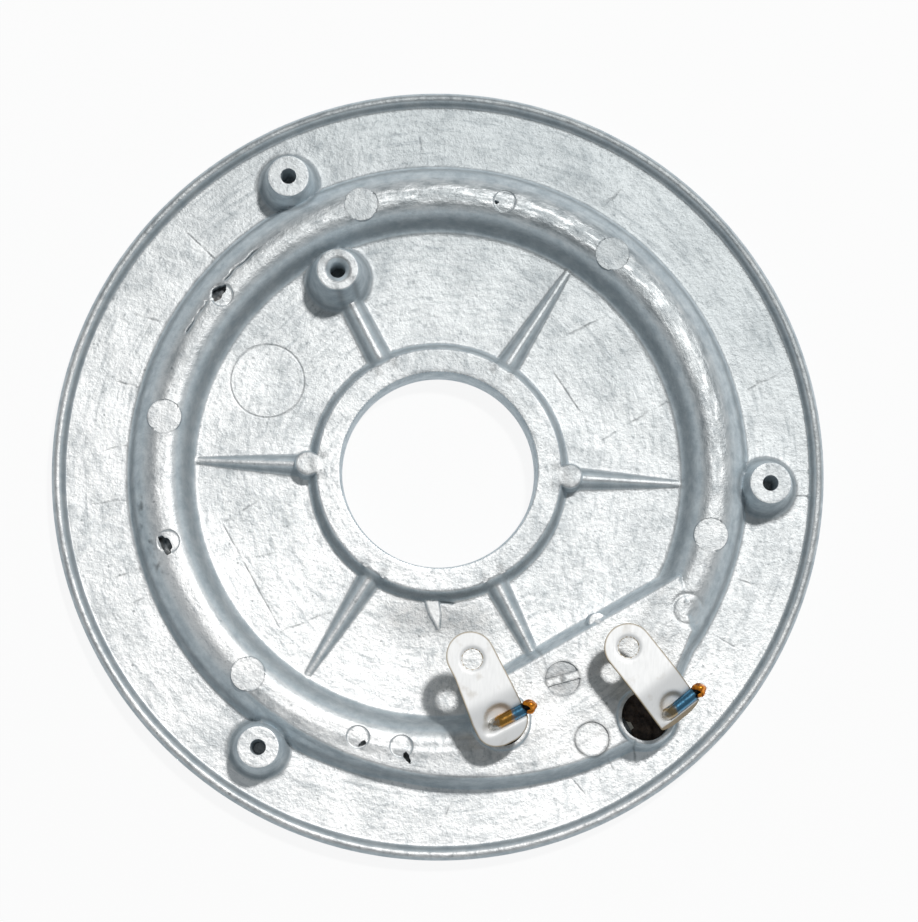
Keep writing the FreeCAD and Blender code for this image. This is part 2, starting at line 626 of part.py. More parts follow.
def pin_shape(end):
    """Bar from inside the tube, out of its mouth, up, and over along the tab's window."""
    bend = size("pin_bend")
    heading = unit(size(f"{end}_heading"))
    over = unit(size(f"{end}_yaw"))
    foot = Vector(size(f"{end}_pin_x"), size(f"{end}_pin_y"), size("heater_level"))
    head = Vector(size(f"{end}_head_x"), size(f"{end}_head_y"), size("rod_level"))
    rise = (head - foot).normalize()
    lower = bend_arc(foot, heading, rise, bend)
    upper = bend_arc(head, rise, over, bend)
    straight = size("pin_reach") - (foot - lower.StartPoint).Length
    edges = mouth_edges(end, size("pin_cold_length"), straight)
    edges += [lower, Part.LineSegment(lower.EndPoint, upper.StartPoint), upper,
              Part.LineSegment(upper.EndPoint, head + over * size("rod_length"))]
    return rod_along(join(edges), size("pin_radius"))


def bead_shape(end):
    """Dome on the pin's end."""
    over = unit(size(f"{end}_yaw"))
    head = Vector(size(f"{end}_head_x"), size(f"{end}_head_y"), size("rod_level"))
    dome = Part.makeSphere(size("bead_radius"), Vector(), Z_AXIS, 0, 90, 360)
    dome.Placement = Placement(head + over * size("rod_length"), Rotation(Z_AXIS, over))
    return dome


# Terminal tabs: a strip with a screw hole, creased toward the pin and open round the pin's level end

TONGUE_CORNERS = 2


def sloped(start, angle):
    """Where a strip's underside corner goes when the strip falls away from a top edge toward -Y."""
    normal = Vector(0, -math.sin(math.radians(angle)), math.cos(math.radians(angle)))
    turn = Rotation(X_AXIS, angle).multiply(Rotation(Z_AXIS, 180))
    return Placement(start - normal * size("tab_thickness"), turn)


def tab_body(end):
    """One tab, drawn with the pin's foot at the origin and the pin's level end along X."""
    body = document.addObject("PartDesign::Body", f"terminal_tab_{end}")
    left = size("tab_offset") - size("tab_half_width")
    right = size("tab_offset") + size("tab_half_width")
    crease = Vector(right, size("tab_crease_reach"), size("tab_level"))
    slope = size("tab_crease_angle")
    fall = Vector(0, -math.cos(math.radians(slope)), -math.sin(math.radians(slope)))
    fold = crease + fall * size(f"{end}_leg_length")
    solid_feature(body, "AdditiveBox", f"{end}_blade",
                  {"Length": "tab_width", "Width": "tab_length", "Height": "tab_thickness",
                   "Placement.Base.y": "tab_crease_reach", "Placement.Base.z": "tab_underside"},
                  Placement(Vector(left, 0, 0), Rotation()))
    solid_feature(body, "AdditiveCylinder", f"{end}_blade_end",
                  {"Radius": "tab_half_width", "Height": "tab_thickness",
                   "Placement.Base.x": "tab_offset", "Placement.Base.y": "tab_hole_reach",
                   "Placement.Base.z": "tab_underside"})
    solid_feature(body, "AdditiveBox", f"{end}_leg",
                  {"Length": "tab_width", "Width": f"{end}_leg_length", "Height": "tab_thickness"},
                  sloped(crease, slope))
    tongue = solid_feature(body, "AdditiveBox", f"{end}_tongue",
                           {"Length": "tab_width", "Width": "tongue_length", "Height": "tab_thickness"},
                           sloped(fold, size(f"{end}_tongue_angle")))
    short_edges = [((edge.CenterOfMass - crease).dot(fall), f"Edge{number}")
                   for number, edge in enumerate(tongue.Shape.Edges, start=1)
                   if abs(edge.Length - size("tab_thickness")) < SAME_SIZE]
    corner_edges = sorted(short_edges)[-TONGUE_CORNERS:]
    rounding = body.newObject("PartDesign::Fillet", f"{end}_tongue_corners")
    rounding.Base = (tongue, [name for reach, name in corner_edges])
    bind(rounding, {"Radius": "tongue_round"})
    document.recompute()
    solid_feature(body, "SubtractiveCylinder", f"{end}_screw_hole",
                  {"Radius": "tab_hole_radius", "Height": "tab_level", "Placement.Base.x": "tab_offset",
                   "Placement.Base.y": "tab_hole_reach"})
    solid_feature(body, "SubtractiveBox", f"{end}_window",
                  {"Length": "tab_width", "Width": "window_height", "Height": "tab_level",
                   "Placement.Base.x": "window_start", "Placement.Base.y": f"{end}_window_edge"})
    solid_feature(body, "SubtractiveCylinder", f"{end}_window_arch",
                  {"Radius": "window_arch_radius", "Height": "tab_level",
                   "Placement.Base.x": "tab_offset", "Placement.Base.y": f"{end}_arch_place"})
    body.Label = f"terminal_tab_{end}"
    body.Placement = Placement(Vector(), Rotation(Z_AXIS, size(f"{end}_yaw")))
    bind(body, {"Placement.Base.x": f"{end}_pin_x", "Placement.Base.y": f"{end}_pin_y"})
    document.recompute()
    return body


# Both heater ends

terminals = []
pins = []
for end in ("inner", "outer"):
    pin = add_piece(f"cold_pin_{end}", pin_shape(end))
    bead = add_piece(f"braze_bead_{end}", bead_shape(end))
    mouth = join(mouth_edges(end, size("bush_inside"), size("bush_outside")))
    plug = add_piece(f"bush_blank_{end}", rod_along(mouth, size("sheath_bore")))
    bush = cut_piece(f"mouth_bush_{end}", plug, [pin])
    pool = document.addObject("Part::Cylinder", f"seal_blank_{end}")
    bind(pool, {"Radius": "socket_radius", "Height": "seal_height",
                "Placement.Base.x": f"{end}_socket_x", "Placement.Base.y": f"{end}_socket_y",
                "Placement.Base.z": "socket_floor"})
    seal = cut_piece(f"socket_seal_{end}", pool, [channel, pin, plug])
    pins.append(pin)
    terminals += [pin, bead, bush, seal, tab_body(end)]

# Winding: a helix round the heater's centre line that grips both pins, made of arcs that meet smoothly

STEPS_PER_TURN = 4


def helix_points(line, turns, radius):
    """Places and directions of the wire at each step of its turns."""
    edges = line.OrderedEdges
    pitch = line.Length / turns
    places, directions = [], []
    for step in range(turns * STEPS_PER_TURN + 1):
        run = pitch * step / STEPS_PER_TURN
        for edge in edges[:-1]:
            if run <= edge.Length:
                break
            run -= edge.Length
        else:
            edge = edges[-1]
        at = edge.getParameterByLength(run)
        forward = edge.tangentAt(at)
        side = forward.cross(Z_AXIS)
        turn = 2 * math.pi * step / STEPS_PER_TURN
        places.append(edge.valueAt(at) + (side * math.cos(turn) + Z_AXIS * math.sin(turn)) * radius)
        spin = (Z_AXIS * math.cos(turn) - side * math.sin(turn)) * radius
        directions.append((spin + forward * pitch / (2 * math.pi)).normalize())
    return places, directions


def arc_to(start, direction, end):
    """The arc that leaves a point in a direction and reaches another point."""
    chord = end - start
    side = direction - chord * (direction.dot(chord) / chord.dot(chord))
    sag = chord.Length / 2 * math.tan(direction.getAngle(chord) / 2)
    return Part.Arc(start, start + chord / 2 + side.normalize() * sag, end)


def two_arcs(start, first, end, last):
    """Two arcs with a common direction where they meet, between two points with given directions."""
    gap = end - start
    square = 2 * (first.dot(last) - 1)
    linear = -2 * gap.dot(first + last)
    reach = (-linear - math.sqrt(linear ** 2 - 4 * square * gap.dot(gap))) / (2 * square)
    near, far = start + first * reach, end - last * reach
    middle = (near + far) / 2
    return [arc_to(start, first, middle), arc_to(middle, (far - near).normalize(), end)]


turns = int(size("coil_turns"))
grip = size("pin_cold_length") - size("coil_grip")
winding_line = heater_line(grip, grip)
places, directions = helix_points(winding_line, turns, size("coil_radius"))
arcs = []
for step in range(len(places) - 1):
    arcs += two_arcs(places[step], directions[step], places[step + 1], directions[step + 1])
resistance_coil = add_piece("resistance_coil", rod_along(join(arcs), size("coil_wire_radius")))
turn_gap = min(places[step].distanceToPoint(places[step + STEPS_PER_TURN])
               for step in range(len(places) - STEPS_PER_TURN)) - 2 * size("coil_wire_radius")
print(f"least gap between the winding's turns {turn_gap:.2f} mm")

# Magnesia fill, with the space where the winding lies

half_space = size("coil_wire_radius") + size("coil_gap")
space = add_piece("winding_space", rod_along(winding_line, size("coil_radius") + half_space))
space_core = add_piece("winding_core", rod_along(winding_line, size("coil_radius") - half_space))
sleeve = cut_piece("winding_sleeve", space, [space_core])
filling_line = heater_line(size("bush_inside"), size("bush_inside"))
filling = add_piece("magnesia_blank", rod_along(filling_line, size("sheath_bore")))
magnesia_fill = cut_piece("magnesia_fill", filling, [sleeve] + pins)

# Check every object, then write one file for each piece

document.recompute()
pieces = [plate_casting, heater_sheath, magnesia_fill, resistance_coil] + terminals
faults = [item.Name for item in document.Objects if {"Invalid", "Error"} & set(item.State)]
faults += [piece.Name for piece in pieces if piece.Shape.isNull() or not piece.Shape.isValid()]
if faults:
    raise RuntimeError("faulty objects: " + ", ".join(faults))
for piece in pieces:
    piece.Shape.exportStep(f"parts/{piece.Label}.step")
    print(piece.Label, len(piece.Shape.Solids), round(piece.Shape.Volume, 1))
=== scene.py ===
import math

import bpy
import numpy as np
from mathutils import Matrix, Vector
from mathutils.geometry import delaunay_2d_cdt


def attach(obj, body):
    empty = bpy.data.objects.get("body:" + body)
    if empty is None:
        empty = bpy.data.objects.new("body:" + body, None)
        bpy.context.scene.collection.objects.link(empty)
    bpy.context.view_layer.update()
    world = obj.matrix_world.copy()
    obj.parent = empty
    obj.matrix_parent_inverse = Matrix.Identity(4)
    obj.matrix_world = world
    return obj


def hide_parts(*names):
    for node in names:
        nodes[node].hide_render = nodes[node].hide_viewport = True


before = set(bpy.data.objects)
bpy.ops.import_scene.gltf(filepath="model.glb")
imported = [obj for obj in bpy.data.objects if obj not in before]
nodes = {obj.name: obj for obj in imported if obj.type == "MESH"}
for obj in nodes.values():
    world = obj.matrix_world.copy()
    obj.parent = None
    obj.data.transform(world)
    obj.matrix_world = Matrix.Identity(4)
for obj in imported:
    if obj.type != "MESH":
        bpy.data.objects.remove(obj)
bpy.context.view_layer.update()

# The underside of a cast aluminium heating plate with its two heater terminals.
# Shapes are worked out in millimetres in the CAD model's frame and become metres in each mesh.

MM = 0.001

# Sizes of the casting. A drafted form is given by its half width at the top and at the foot, its level,
# and the rounding of its crest and of its root.

FLOOR = 4.5
BORE_RADIUS = 20.6
BORE_MOUTH_LEVEL = 6.0
HUB_LEVEL = 9.0
HUB_MIDDLE = 23.7
HUB_HALF_FOOT = 3.9
HUB_OUTER = (2.45, HUB_HALF_FOOT, HUB_LEVEL, 0.4, 0.6)
HUB_MOUTH = (2.7, 3.1, HUB_LEVEL, 0.2, 0.1, BORE_MOUTH_LEVEL)
LOBES = ((27.9, 0), (-27.9, 0))
LOBE = (2.7, 3.0, HUB_LEVEL, 0.4, 0.4)
LOBE_FILLET = 0.2
RIM_RADIUS = 82.45
RIM_LEVEL = 6.2
RIM_WIDTH = 1.9
RIM_FOOT_WIDTH = 2.9
RIM_ROUND = 1.2
RIM_LIP = (RIM_WIDTH, RIM_FOOT_WIDTH, RIM_LEVEL, RIM_ROUND, 0.3)
SHOULDER_ROUND = 5.0
SHOULDER_SLOPE = 68.2
SHOULDER_LEVEL = 5.985
FACE_RADIUS = 75.04
RING_RADIUS = 59.2
RIDGE_LEVEL = 11.8
RIDGE_HALF_TOP = 4.6
RIDGE_HALF_FOOT = 6.8
RIDGE_INNER = (4.2, RIDGE_HALF_FOOT, RIDGE_LEVEL, 4.4, 1.4)
RIDGE_OUTER = (4.9, RIDGE_HALF_FOOT, RIDGE_LEVEL, 6.4, 1.0)
PLATFORM_LEVEL = 12.0
PLATFORM_ANGLE = -57.5
PLATFORM_OFFSET = 44.7
PLATFORM_REACH = 33.0
PLATFORM_LEFT_REACH = 16.5
PLATFORM_CREST_TURNS = range(-78, -129, -5)
PLATFORM_ARC_CENTRE = (6.93, 6.93)
PLATFORM_ARC_RADIUS = 72.2
PLATFORM_ARC_SPAN = (-130, -56)
PLATFORM_RETURN_TURN = -30
PLATFORM_DRAFT_RUN = 1.6
PLATFORM_ROUND = 0.9
PLATFORM_FALL = 0.4
PLATFORM_FALL_SPAN = (-14, 8)
PLATFORM_FILLET = 0.6
COLLAR = (6.2, 6.9, 13.0, 0.5, 0.8)
SOCKET_RADIUS = 5.2
SOCKET_FLOOR = 2.2
SOCKETS = ((15.55, -52.70), (45.90, -50.16))
BOSS_PLACE = 70.0
BOSS_TURNS = (0, 120, 240)
BOSS_FOOT = 6.0
BOSS_LEVEL = 14.5
BOSS = (4.4, BOSS_FOOT, BOSS_LEVEL, 0.25, 1.6)
BOSS_FILLET = 1.0
BOSS_HOLE = 1.65
BOSS_HOLE_FLOOR = 5.5
BOSS_HOLE_DRAFT = 0.4
INNER_BOSS_PLACE = (-23.5, 40.7)
INNER_BOSS_FOOT = 6.6
INNER_BOSS_LEVEL = 16.5
INNER_BOSS = (4.5, INNER_BOSS_FOOT, INNER_BOSS_LEVEL, 0.3, 1.6)
INNER_HOLE = 1.65
INNER_HOLE_FLOOR = 6.5
INNER_SINK = 0.9
INNER_SINK_WIDTH = 1.2
RIB_COUNT = 6
RIB_SPAN = (23.7, 52.4)
RIB_HALF_WIDTH = (2.4, 0.7)
RIB_TOP = (7.6, 4.6)
RIB_TOP_SHARE = 0.4
RIB_FOOT_SHARE = 1.1
RIB_ROUND_SHARE = 0.6
RIB_ROOT = 0.5
RIB_FILLET = 0.4
BOSS_RIB = 2
BOSS_RIB_HALF_WIDTH = (2.4, 2.0)
BOSS_RIB_TOP = (7.6, 6.6)

# Marks of the die's pins: discs on the ridge and the platform, and ragged holes where pins held the heater.
# A hole has its angle on the ring, its shift outward and round the ring, its half length and half width,
# and its lean from the ring's direction.

MARK_RADIUS = 3.6
MARK_LEVEL = 11.55
MARK_ANGLES = (-11, 54, 109, 172, 230)
PLATFORM_MARKS = ((65.5, -58), (51.5, -57))
PLATFORM_MARK_DEPTH = 0.35
MARK_BAR_TURN = 18
MARK_BAR_HALF = 0.85
RECESS_RADIUS = 2.5
RECESS_DEPTH = 0.22
RECESS_EDGE = 0.2
PIT_DEPTH = 2.5
PITS = (
    (79, -0.6, 1.6, 0.5, 0.4, 0), (144, 0.9, 0.0, 1.9, 1.15, 0),
    (198, 0.7, 0.5, 2.1, 1.05, 12), (256, 1.0, 1.3, 0.9, 0.45, 49), (265, 2.1, 1.5, 1.25, 0.55, -55),
)

# Marks that only the cast skin has: seams between the die's inserts, cracks and specks, each from one radius
# and angle to another, then a round insert, a finger of flash, a darker patch of floor beside it, a pip and
# a bruise. Waves are given by their height, cell and zero level.

SEAMS = (
    (75, 139, 67, 139), (73, 155, 67, 154), (71, 167, 67, 167), (72, 179, 67, 178), (74, 188, 67, 188),
    (72, 201, 67, 201), (70, 206, 67, 206), (73, 96, 68, 96), (68, 61, 73, 60), (69, 18, 77, 19),
    (77, 3, 79, 3), (76, -1, 79, -1), (68, -17, 71, -17), (68, -28, 73, -28), (69, -44, 73, -46),
    (71, -52, 74, -53), (71, -57, 73, -57), (71, -64, 75, -63), (70, -85, 73, -86),
    (36, 52, 50, 46), (36, 14, 51, 20), (32.7, 43, 33.5, 22),
    (47.5, -164, 47.5, -133), (47.5, -164, 39.3, -168), (48.3, -132, 38, -125), (45.4, -153, 40, -151),
    (57.1, 27, 59.3, 28), (59.3, 28, 61.6, 26.4),
)
CRACKS = ((61, 141, 61, 132), (61, 147, 61, 154), (27.8, -86, 28.2, -81))
SPECKS = ((63.2, -175, 63.7, -166), (63.6, -166, 62.7, -157))
SEAM_DEPTH = 0.07
SEAM_WIDTH = 0.16
SEAM_WAVER = (0.4, 1.7, 0.5)
SEAM_FADE_CELL = 1.9
CRACK_DEPTH = 0.4
CRACK_WIDTH = 0.26
INSERT_PLACE = (-37.6, 17.8)
INSERT_RADIUS = 7.9
FLASH_START = (-0.3, -27.0)
FLASH_END = (1.5, -33.3)
FLASH_TAPER = 3.0
FLASH_HALF_WIDTH = (1.45, 1.2, 0.25)
FLASH_LEVEL = FLOOR + 0.5
FLASH_EDGE = 0.15
FLASH_FILLET = 0.1
# A run along which the floor by the flash finger is darker.
DARK_PATCH = ((-7.0, -31.0), (9.0, -32.0))
PIP_PLACE = (34.9, -30.8)
PIP = (2.0, 2.2, 11.4, 0.3, 0.3)
PIP_FILLET = 0.2
BRUISE_PLACE = (53.8, -27.3)
BRUISE_RADIUS = 3.2
BRUISE_WIDTH = 0.6
BRUISE_DEPTH = 0.4
BRUISE_CELL = 2.3
CREST_SHIFT = 0.6
CREST_REACH = 2.4
CREST_WAVES = (0.06, 1.5, 0.6)
FLOOR_WAVES = (0.10, 6.5, 0.5)
LIP_WAVES = (0.07, 1.1, 0.8)


def polar(radius, angle):
    """Point at a radius and an angle in degrees from the bore's axis."""
    return radius * math.cos(math.radians(angle)), radius * math.sin(math.radians(angle))


def distance_to(x, y, centre):
    """Level distance of every point from a centre."""
    return np.hypot(x - centre[0], y - centre[1])


def distance_to_run(x, y, start, end):
    """Level distance of every point from a straight run: to its line, or past its ends to the nearer one."""
    run_x, run_y = end[0] - start[0], end[1] - start[1]
    along = ((x - start[0]) * run_x + (y - start[1]) * run_y) / (run_x ** 2 + run_y ** 2)
    along = np.clip(along, 0, 1)
    return np.hypot(x - start[0] - along * run_x, y - start[1] - along * run_y)


def bell(distance, width):
    """Bell curve: one at no distance, and e to the minus square of the distance in widths."""
    return np.exp(-(distance / width) ** 2)


def line(distance, width):
    """One at no distance, falling evenly to nothing at the width."""
    return np.clip(1 - np.abs(distance) / width, 0, 1)


def drafted(distance, top, foot, level, crest, root, base=FLOOR):
    """Height of a form with a flat top and a drafted wall, by distance from its middle.

    The wall is a straight line from level at top down to base at foot. An arc of radius crest joins it to
    the flat top and an arc of radius root to the flat below, each tangent at both ends.
    """
    slope = np.arctan2(level - base, foot - top)
    crest_run = crest * np.tan(slope / 2)
    root_run = root * np.tan(slope / 2)
    over = np.clip(distance - top + crest_run, 0, crest)
    under = np.clip(foot + root_run - distance, 0, root)
    wall = base + (level - base) * (foot - distance) / (foot - top)
    crest_arc = level - crest + np.sqrt(crest ** 2 - over ** 2)
    root_arc = base + root - np.sqrt(root ** 2 - under ** 2)
    height = np.where(distance < top + crest_run * np.cos(slope), crest_arc, wall)
    return np.where(distance > foot - root_run * np.cos(slope), root_arc, height)


def blend(first, second, fillet):
    """The higher of two heights, with a fillet added where they cross above the floor."""
    size = np.clip(np.minimum(first, second) - FLOOR, 1e-6, fillet)
    nearness = np.clip(1 - np.abs(first - second) / size, 0, 1)
    return np.maximum(first, second) + nearness ** 2 * size / 4


LATTICE = np.random.default_rng(11).random((97, 97))


def lattice_noise(x, y, cell):
    """Smooth field from 0 to 1: random values on a square lattice, eased across each cell."""
    u, v = x / cell, y / cell
    column, row = np.floor(u).astype(int), np.floor(v).astype(int)
    s, t = u - column, v - row
    s, t = s * s * (3 - 2 * s), t * t * (3 - 2 * t)
    size = len(LATTICE)
    near, far = column % size, (column + 1) % size
    low, high = row % size, (row + 1) % size
    below = LATTICE[near, low] * (1 - s) + LATTICE[far, low] * s
    above = LATTICE[near, high] * (1 - s) + LATTICE[far, high] * s
    return below * (1 - t) + above * t


def waves(x, y, height, cell, zero):
    """Low waves of the skin: lattice noise above or below its zero level, times a height."""
    return height * (lattice_noise(x, y, cell) - zero)


# Outline of the terminal platform: a straight wall, the ridge's crest at its left end, the outer arc, its end


def platform_outline():
    """Corners of the platform as an array, with its outer arc in steps of two degrees."""
    facing = np.array(polar(1, PLATFORM_ANGLE))
    along = np.array(polar(1, PLATFORM_ANGLE + 90))
    wall = [facing * PLATFORM_OFFSET + along * reach for reach in (PLATFORM_REACH, -PLATFORM_LEFT_REACH)]
    turns = np.radians(np.arange(PLATFORM_ARC_SPAN[0], PLATFORM_ARC_SPAN[1] + 1, 2))
    arc = np.stack([np.cos(turns), np.sin(turns)], 1) * PLATFORM_ARC_RADIUS + PLATFORM_ARC_CENTRE
    crest = [polar(RING_RADIUS, turn) for turn in PLATFORM_CREST_TURNS]
    last = polar(RING_RADIUS + RIDGE_HALF_TOP, PLATFORM_RETURN_TURN)
    return np.concatenate([wall, crest, arc, [last]])


OUTLINE = platform_outline()


def outside(outline, x, y):
    """Distance from an outline's nearest edge, negative where a ray crosses an odd number of its edges."""
    nearest = np.full(np.shape(x), np.inf)
    inside = np.zeros(np.shape(x), bool)
    for start, end in zip(outline, np.roll(outline, -1, 0)):
        nearest = np.minimum(nearest, distance_to_run(x, y, start, end))
        crosses = (start[1] > y) != (end[1] > y)
        rise = end[1] - start[1] + 1e-9
        inside ^= crosses & (x < (end[0] - start[0]) * (y - start[1]) / rise + start[0])
    return np.where(inside, -nearest, nearest)


# Height of the cast underside over the plan


def boss_places():
    """The three screw bosses, a third of a turn apart."""
    return [polar(BOSS_PLACE, turn) for turn in BOSS_TURNS]


def mark_places():
    """The pin marks on the ridge."""
    return [polar(RING_RADIUS, angle) for angle in MARK_ANGLES]


def rib_size(along, number):
    """A rib's half width and top level, which fall evenly outward; the rib to the inner boss stays wide."""
    half = BOSS_RIB_HALF_WIDTH if number == BOSS_RIB else RIB_HALF_WIDTH
    top = BOSS_RIB_TOP if number == BOSS_RIB else RIB_TOP
    return np.interp(along, RIB_SPAN, half), np.interp(along, RIB_SPAN, top)


def rib_place(x, y, number):
    """Distances along and across one rib, and its half width and top level there."""
    along_x, along_y = polar(1, 360 / RIB_COUNT * number)
    along = x * along_x + y * along_y
    across = np.abs(x * along_y - y * along_x)
    return along, across, *rib_size(along, number)


def turned_forms(radius):
    """Rim lip, heater ridge and hub, which depend on the radius alone."""
    rim = drafted(RIM_RADIUS - radius, *RIM_LIP)
    edge = np.clip(radius - RIM_RADIUS + RIM_ROUND, 0, RIM_ROUND)
    rim = rim - RIM_ROUND + np.sqrt(RIM_ROUND ** 2 - edge ** 2)
    ridge = np.where(radius < RING_RADIUS, drafted(RING_RADIUS - radius, *RIDGE_INNER),
                     drafted(radius - RING_RADIUS, *RIDGE_OUTER))
    hub = np.where(radius > HUB_MIDDLE, drafted(radius - HUB_MIDDLE, *HUB_OUTER),
                   drafted(HUB_MIDDLE - radius, *HUB_MOUTH))
    return np.maximum(np.maximum(rim, ridge), hub)


def flash_half_width(y):
    """Half width of the flash finger, which narrows towards its tip."""
    return np.interp(y, (FLASH_END[1], FLASH_END[1] + FLASH_TAPER, FLASH_START[1]), FLASH_HALF_WIDTH[::-1])


def raised_forms(x, y):
    """Everything that stands on the floor, joined with small fillets."""
    height = turned_forms(np.hypot(x, y))
    for number in range(RIB_COUNT):
        along, across, half, top = rib_place(x, y, number)
        rib = drafted(across, RIB_TOP_SHARE * half, RIB_FOOT_SHARE * half, top,
                      RIB_ROUND_SHARE * half, RIB_ROOT)
        on_rib = (along > 0) & (along < RIB_SPAN[1])
        height = np.where(on_rib, blend(height, rib, RIB_FILLET), height)
    for centre in LOBES:
        height = blend(height, drafted(distance_to(x, y, centre), *LOBE), LOBE_FILLET)
    level = PLATFORM_LEVEL - np.interp(x, PLATFORM_FALL_SPAN, (PLATFORM_FALL, 0))
    platform = drafted(outside(OUTLINE, x, y), 0, PLATFORM_DRAFT_RUN, level, PLATFORM_ROUND, PLATFORM_ROUND)
    height = blend(height, platform, PLATFORM_FILLET)
    standing = [(centre, COLLAR, PLATFORM_FILLET) for centre in SOCKETS]
    standing += [(centre, BOSS, BOSS_FILLET) for centre in boss_places()]
    standing.append((INNER_BOSS_PLACE, INNER_BOSS, BOSS_FILLET))
    for centre, form, fillet in standing:
        height = blend(height, drafted(distance_to(x, y, centre), *form), fillet)
    half = flash_half_width(y)
    flash = drafted(distance_to_run(x, y, FLASH_START, FLASH_END), half - FLASH_EDGE, half + FLASH_EDGE,
                    FLASH_LEVEL, FLASH_EDGE, FLASH_EDGE)
    height = blend(height, flash, FLASH_FILLET)
    return blend(height, drafted(distance_to(x, y, PIP_PLACE), *PIP), PIP_FILLET)


def unevenness(x, y):
    """The skin's own waves: short ones on the ridge's crest and the lip, longer ones everywhere."""
    radius = np.hypot(x, y)
    crest = bell(radius - RING_RADIUS - CREST_SHIFT, CREST_REACH)
    lip = radius > RIM_RADIUS - RIM_WIDTH
    return crest * waves(x, y, *CREST_WAVES) + waves(x, y, *FLOOR_WAVES) + lip * waves(x, y, *LIP_WAVES)


def pit_distance(x, y, pit):
    """Distance from a pit's middle in units of its ragged ellipse, whose edge waves with the direction."""
    angle, outward, round_ring, half_length, half_width, lean = pit
    middle = np.array(polar(RING_RADIUS + outward, angle)) + np.array(polar(round_ring, angle + 90))
    along = np.array(polar(1, angle + 90 + lean))
    u = ((x - middle[0]) * along[0] + (y - middle[1]) * along[1]) / half_length
    v = ((y - middle[1]) * along[0] - (x - middle[0]) * along[1]) / half_width
    turn = np.arctan2(v, u)
    ragged = 1 + 0.13 * np.sin(3 * turn + angle) + 0.06 * np.sin(7 * turn + 2 * angle)
    return np.hypot(u, v) / ragged


BAR_MARK = polar(*PLATFORM_MARKS[1])


def across_bar(x, y):
    """Distance from the middle line of the bar that crosses the inner platform mark."""
    across = polar(1, MARK_BAR_TURN + 90)
    return np.abs((x - BAR_MARK[0]) * across[0] + (y - BAR_MARK[1]) * across[1])


def seam_ends(seam):
    """The two ends of a seam given by radius and angle."""
    return polar(seam[0], seam[1]), polar(seam[2], seam[3])


def groove(x, y, seam, width):
    """One along a seam's middle, falling to nothing at its width; it wavers and fades with the metal."""
    waver = waves(x, y, *SEAM_WAVER)
    away = distance_to_run(x + waver, y - waver, *seam_ends(seam))
    depth = np.interp(lattice_noise(y, x, SEAM_FADE_CELL), (0.25, 0.6), (0.15, 1))
    return depth * line(away, width)


def sink_marks(height, x, y):
    """Heights with the flat pin marks pressed into the ridge and the platform."""
    for centre in mark_places():
        height = np.where(distance_to(x, y, centre) < MARK_RADIUS, MARK_LEVEL, height)
    for place in PLATFORM_MARKS:
        sunk = distance_to(x, y, polar(*place)) < MARK_RADIUS
        sunk &= across_bar(x, y) > MARK_BAR_HALF
        height = np.where(sunk, PLATFORM_LEVEL - PLATFORM_MARK_DEPTH, height)
    return height


def groove_depth(x, y):
    """Depth of the insert's outline, the bruise, the seams and the cracks, summed."""
    depth = SEAM_DEPTH * line(distance_to(x, y, INSERT_PLACE) - INSERT_RADIUS, SEAM_WIDTH)
    bruise = line(distance_to(x, y, BRUISE_PLACE) - BRUISE_RADIUS, BRUISE_WIDTH)
    depth += BRUISE_DEPTH * bruise * lattice_noise(x, y, BRUISE_CELL)
    for seam in SEAMS:
        depth += SEAM_DEPTH * groove(x, y, seam, SEAM_WIDTH)
    for crack in CRACKS:
        depth += CRACK_DEPTH * groove(x, y, crack, CRACK_WIDTH)
    return depth


def cut_holes(height, x, y):
    """Heights with the ragged pits and their recesses, the sockets and the screw holes cut in."""
    for pit in PITS:
        recess = distance_to(x, y, polar(RING_RADIUS, pit[0]))
        height = height - RECESS_DEPTH * np.clip((RECESS_RADIUS - recess) / RECESS_EDGE, 0, 1)
        height = height - PIT_DEPTH * (pit_distance(x, y, pit) < 1)
    for centre in SOCKETS:
        height = np.where(distance_to(x, y, centre) < SOCKET_RADIUS, SOCKET_FLOOR, height)
    for centre in boss_places():
        away = distance_to(x, y, centre)
        wall = np.interp(away, (BOSS_HOLE - BOSS_HOLE_DRAFT, BOSS_HOLE), (BOSS_HOLE_FLOOR, BOSS_LEVEL))
        height = np.where(away < BOSS_HOLE, wall, height)
    away = distance_to(x, y, INNER_BOSS_PLACE)
    sink = np.where(away < INNER_HOLE, INNER_HOLE_FLOOR, INNER_BOSS_LEVEL - INNER_SINK + away - INNER_HOLE)
    return np.where(away < INNER_HOLE + INNER_SINK_WIDTH, np.minimum(height, sink), height)


def cast_height(x, y):
    """Height of the underside: raised forms with the skin's waves, then pin marks, grooves and holes."""
    height = sink_marks(raised_forms(x, y) + unevenness(x, y), x, y)
    return cut_holes(height - groove_depth(x, y), x, y)


# Fields on the casting's skin that its material reads: dark deposit with painted shade, torn scales with
# painted glints, and bare metal.
# A dark band has its strength and width, and a speckled area its least, its speckle's strength and cell.

# The bands at the rim's and the ridge's feet, on the ribs' flanks and round the bosses' feet are painted
# shade.
DEPOSIT_AND_SHADE_BANDS = {
    "rim_foot": (0.5, 0.6), "ridge_foot": (0.25, 0.6), "rib_flank": (0.34, 0.35), "boss_foot": (0.4, 0.6),
    "dark_patch": (0.4, 4.5), "insert": (0.3, 0.35), "pin_mark": (0.35, 0.35), "bar_edge": (0.7, 0.4),
    "recess": (0.3, 0.3), "seam": (0.4, 2 * SEAM_WIDTH), "crack": (0.9, 1.3 * CRACK_WIDTH),
    "specks": (0.7, 1.2),
}
LIP_SOIL = (0.16, 0.2, 0.7)
PLATFORM_MARK_SOIL = (0.4, 0.5, 1.9)
PLATFORM_MARK_BAND = 0.6
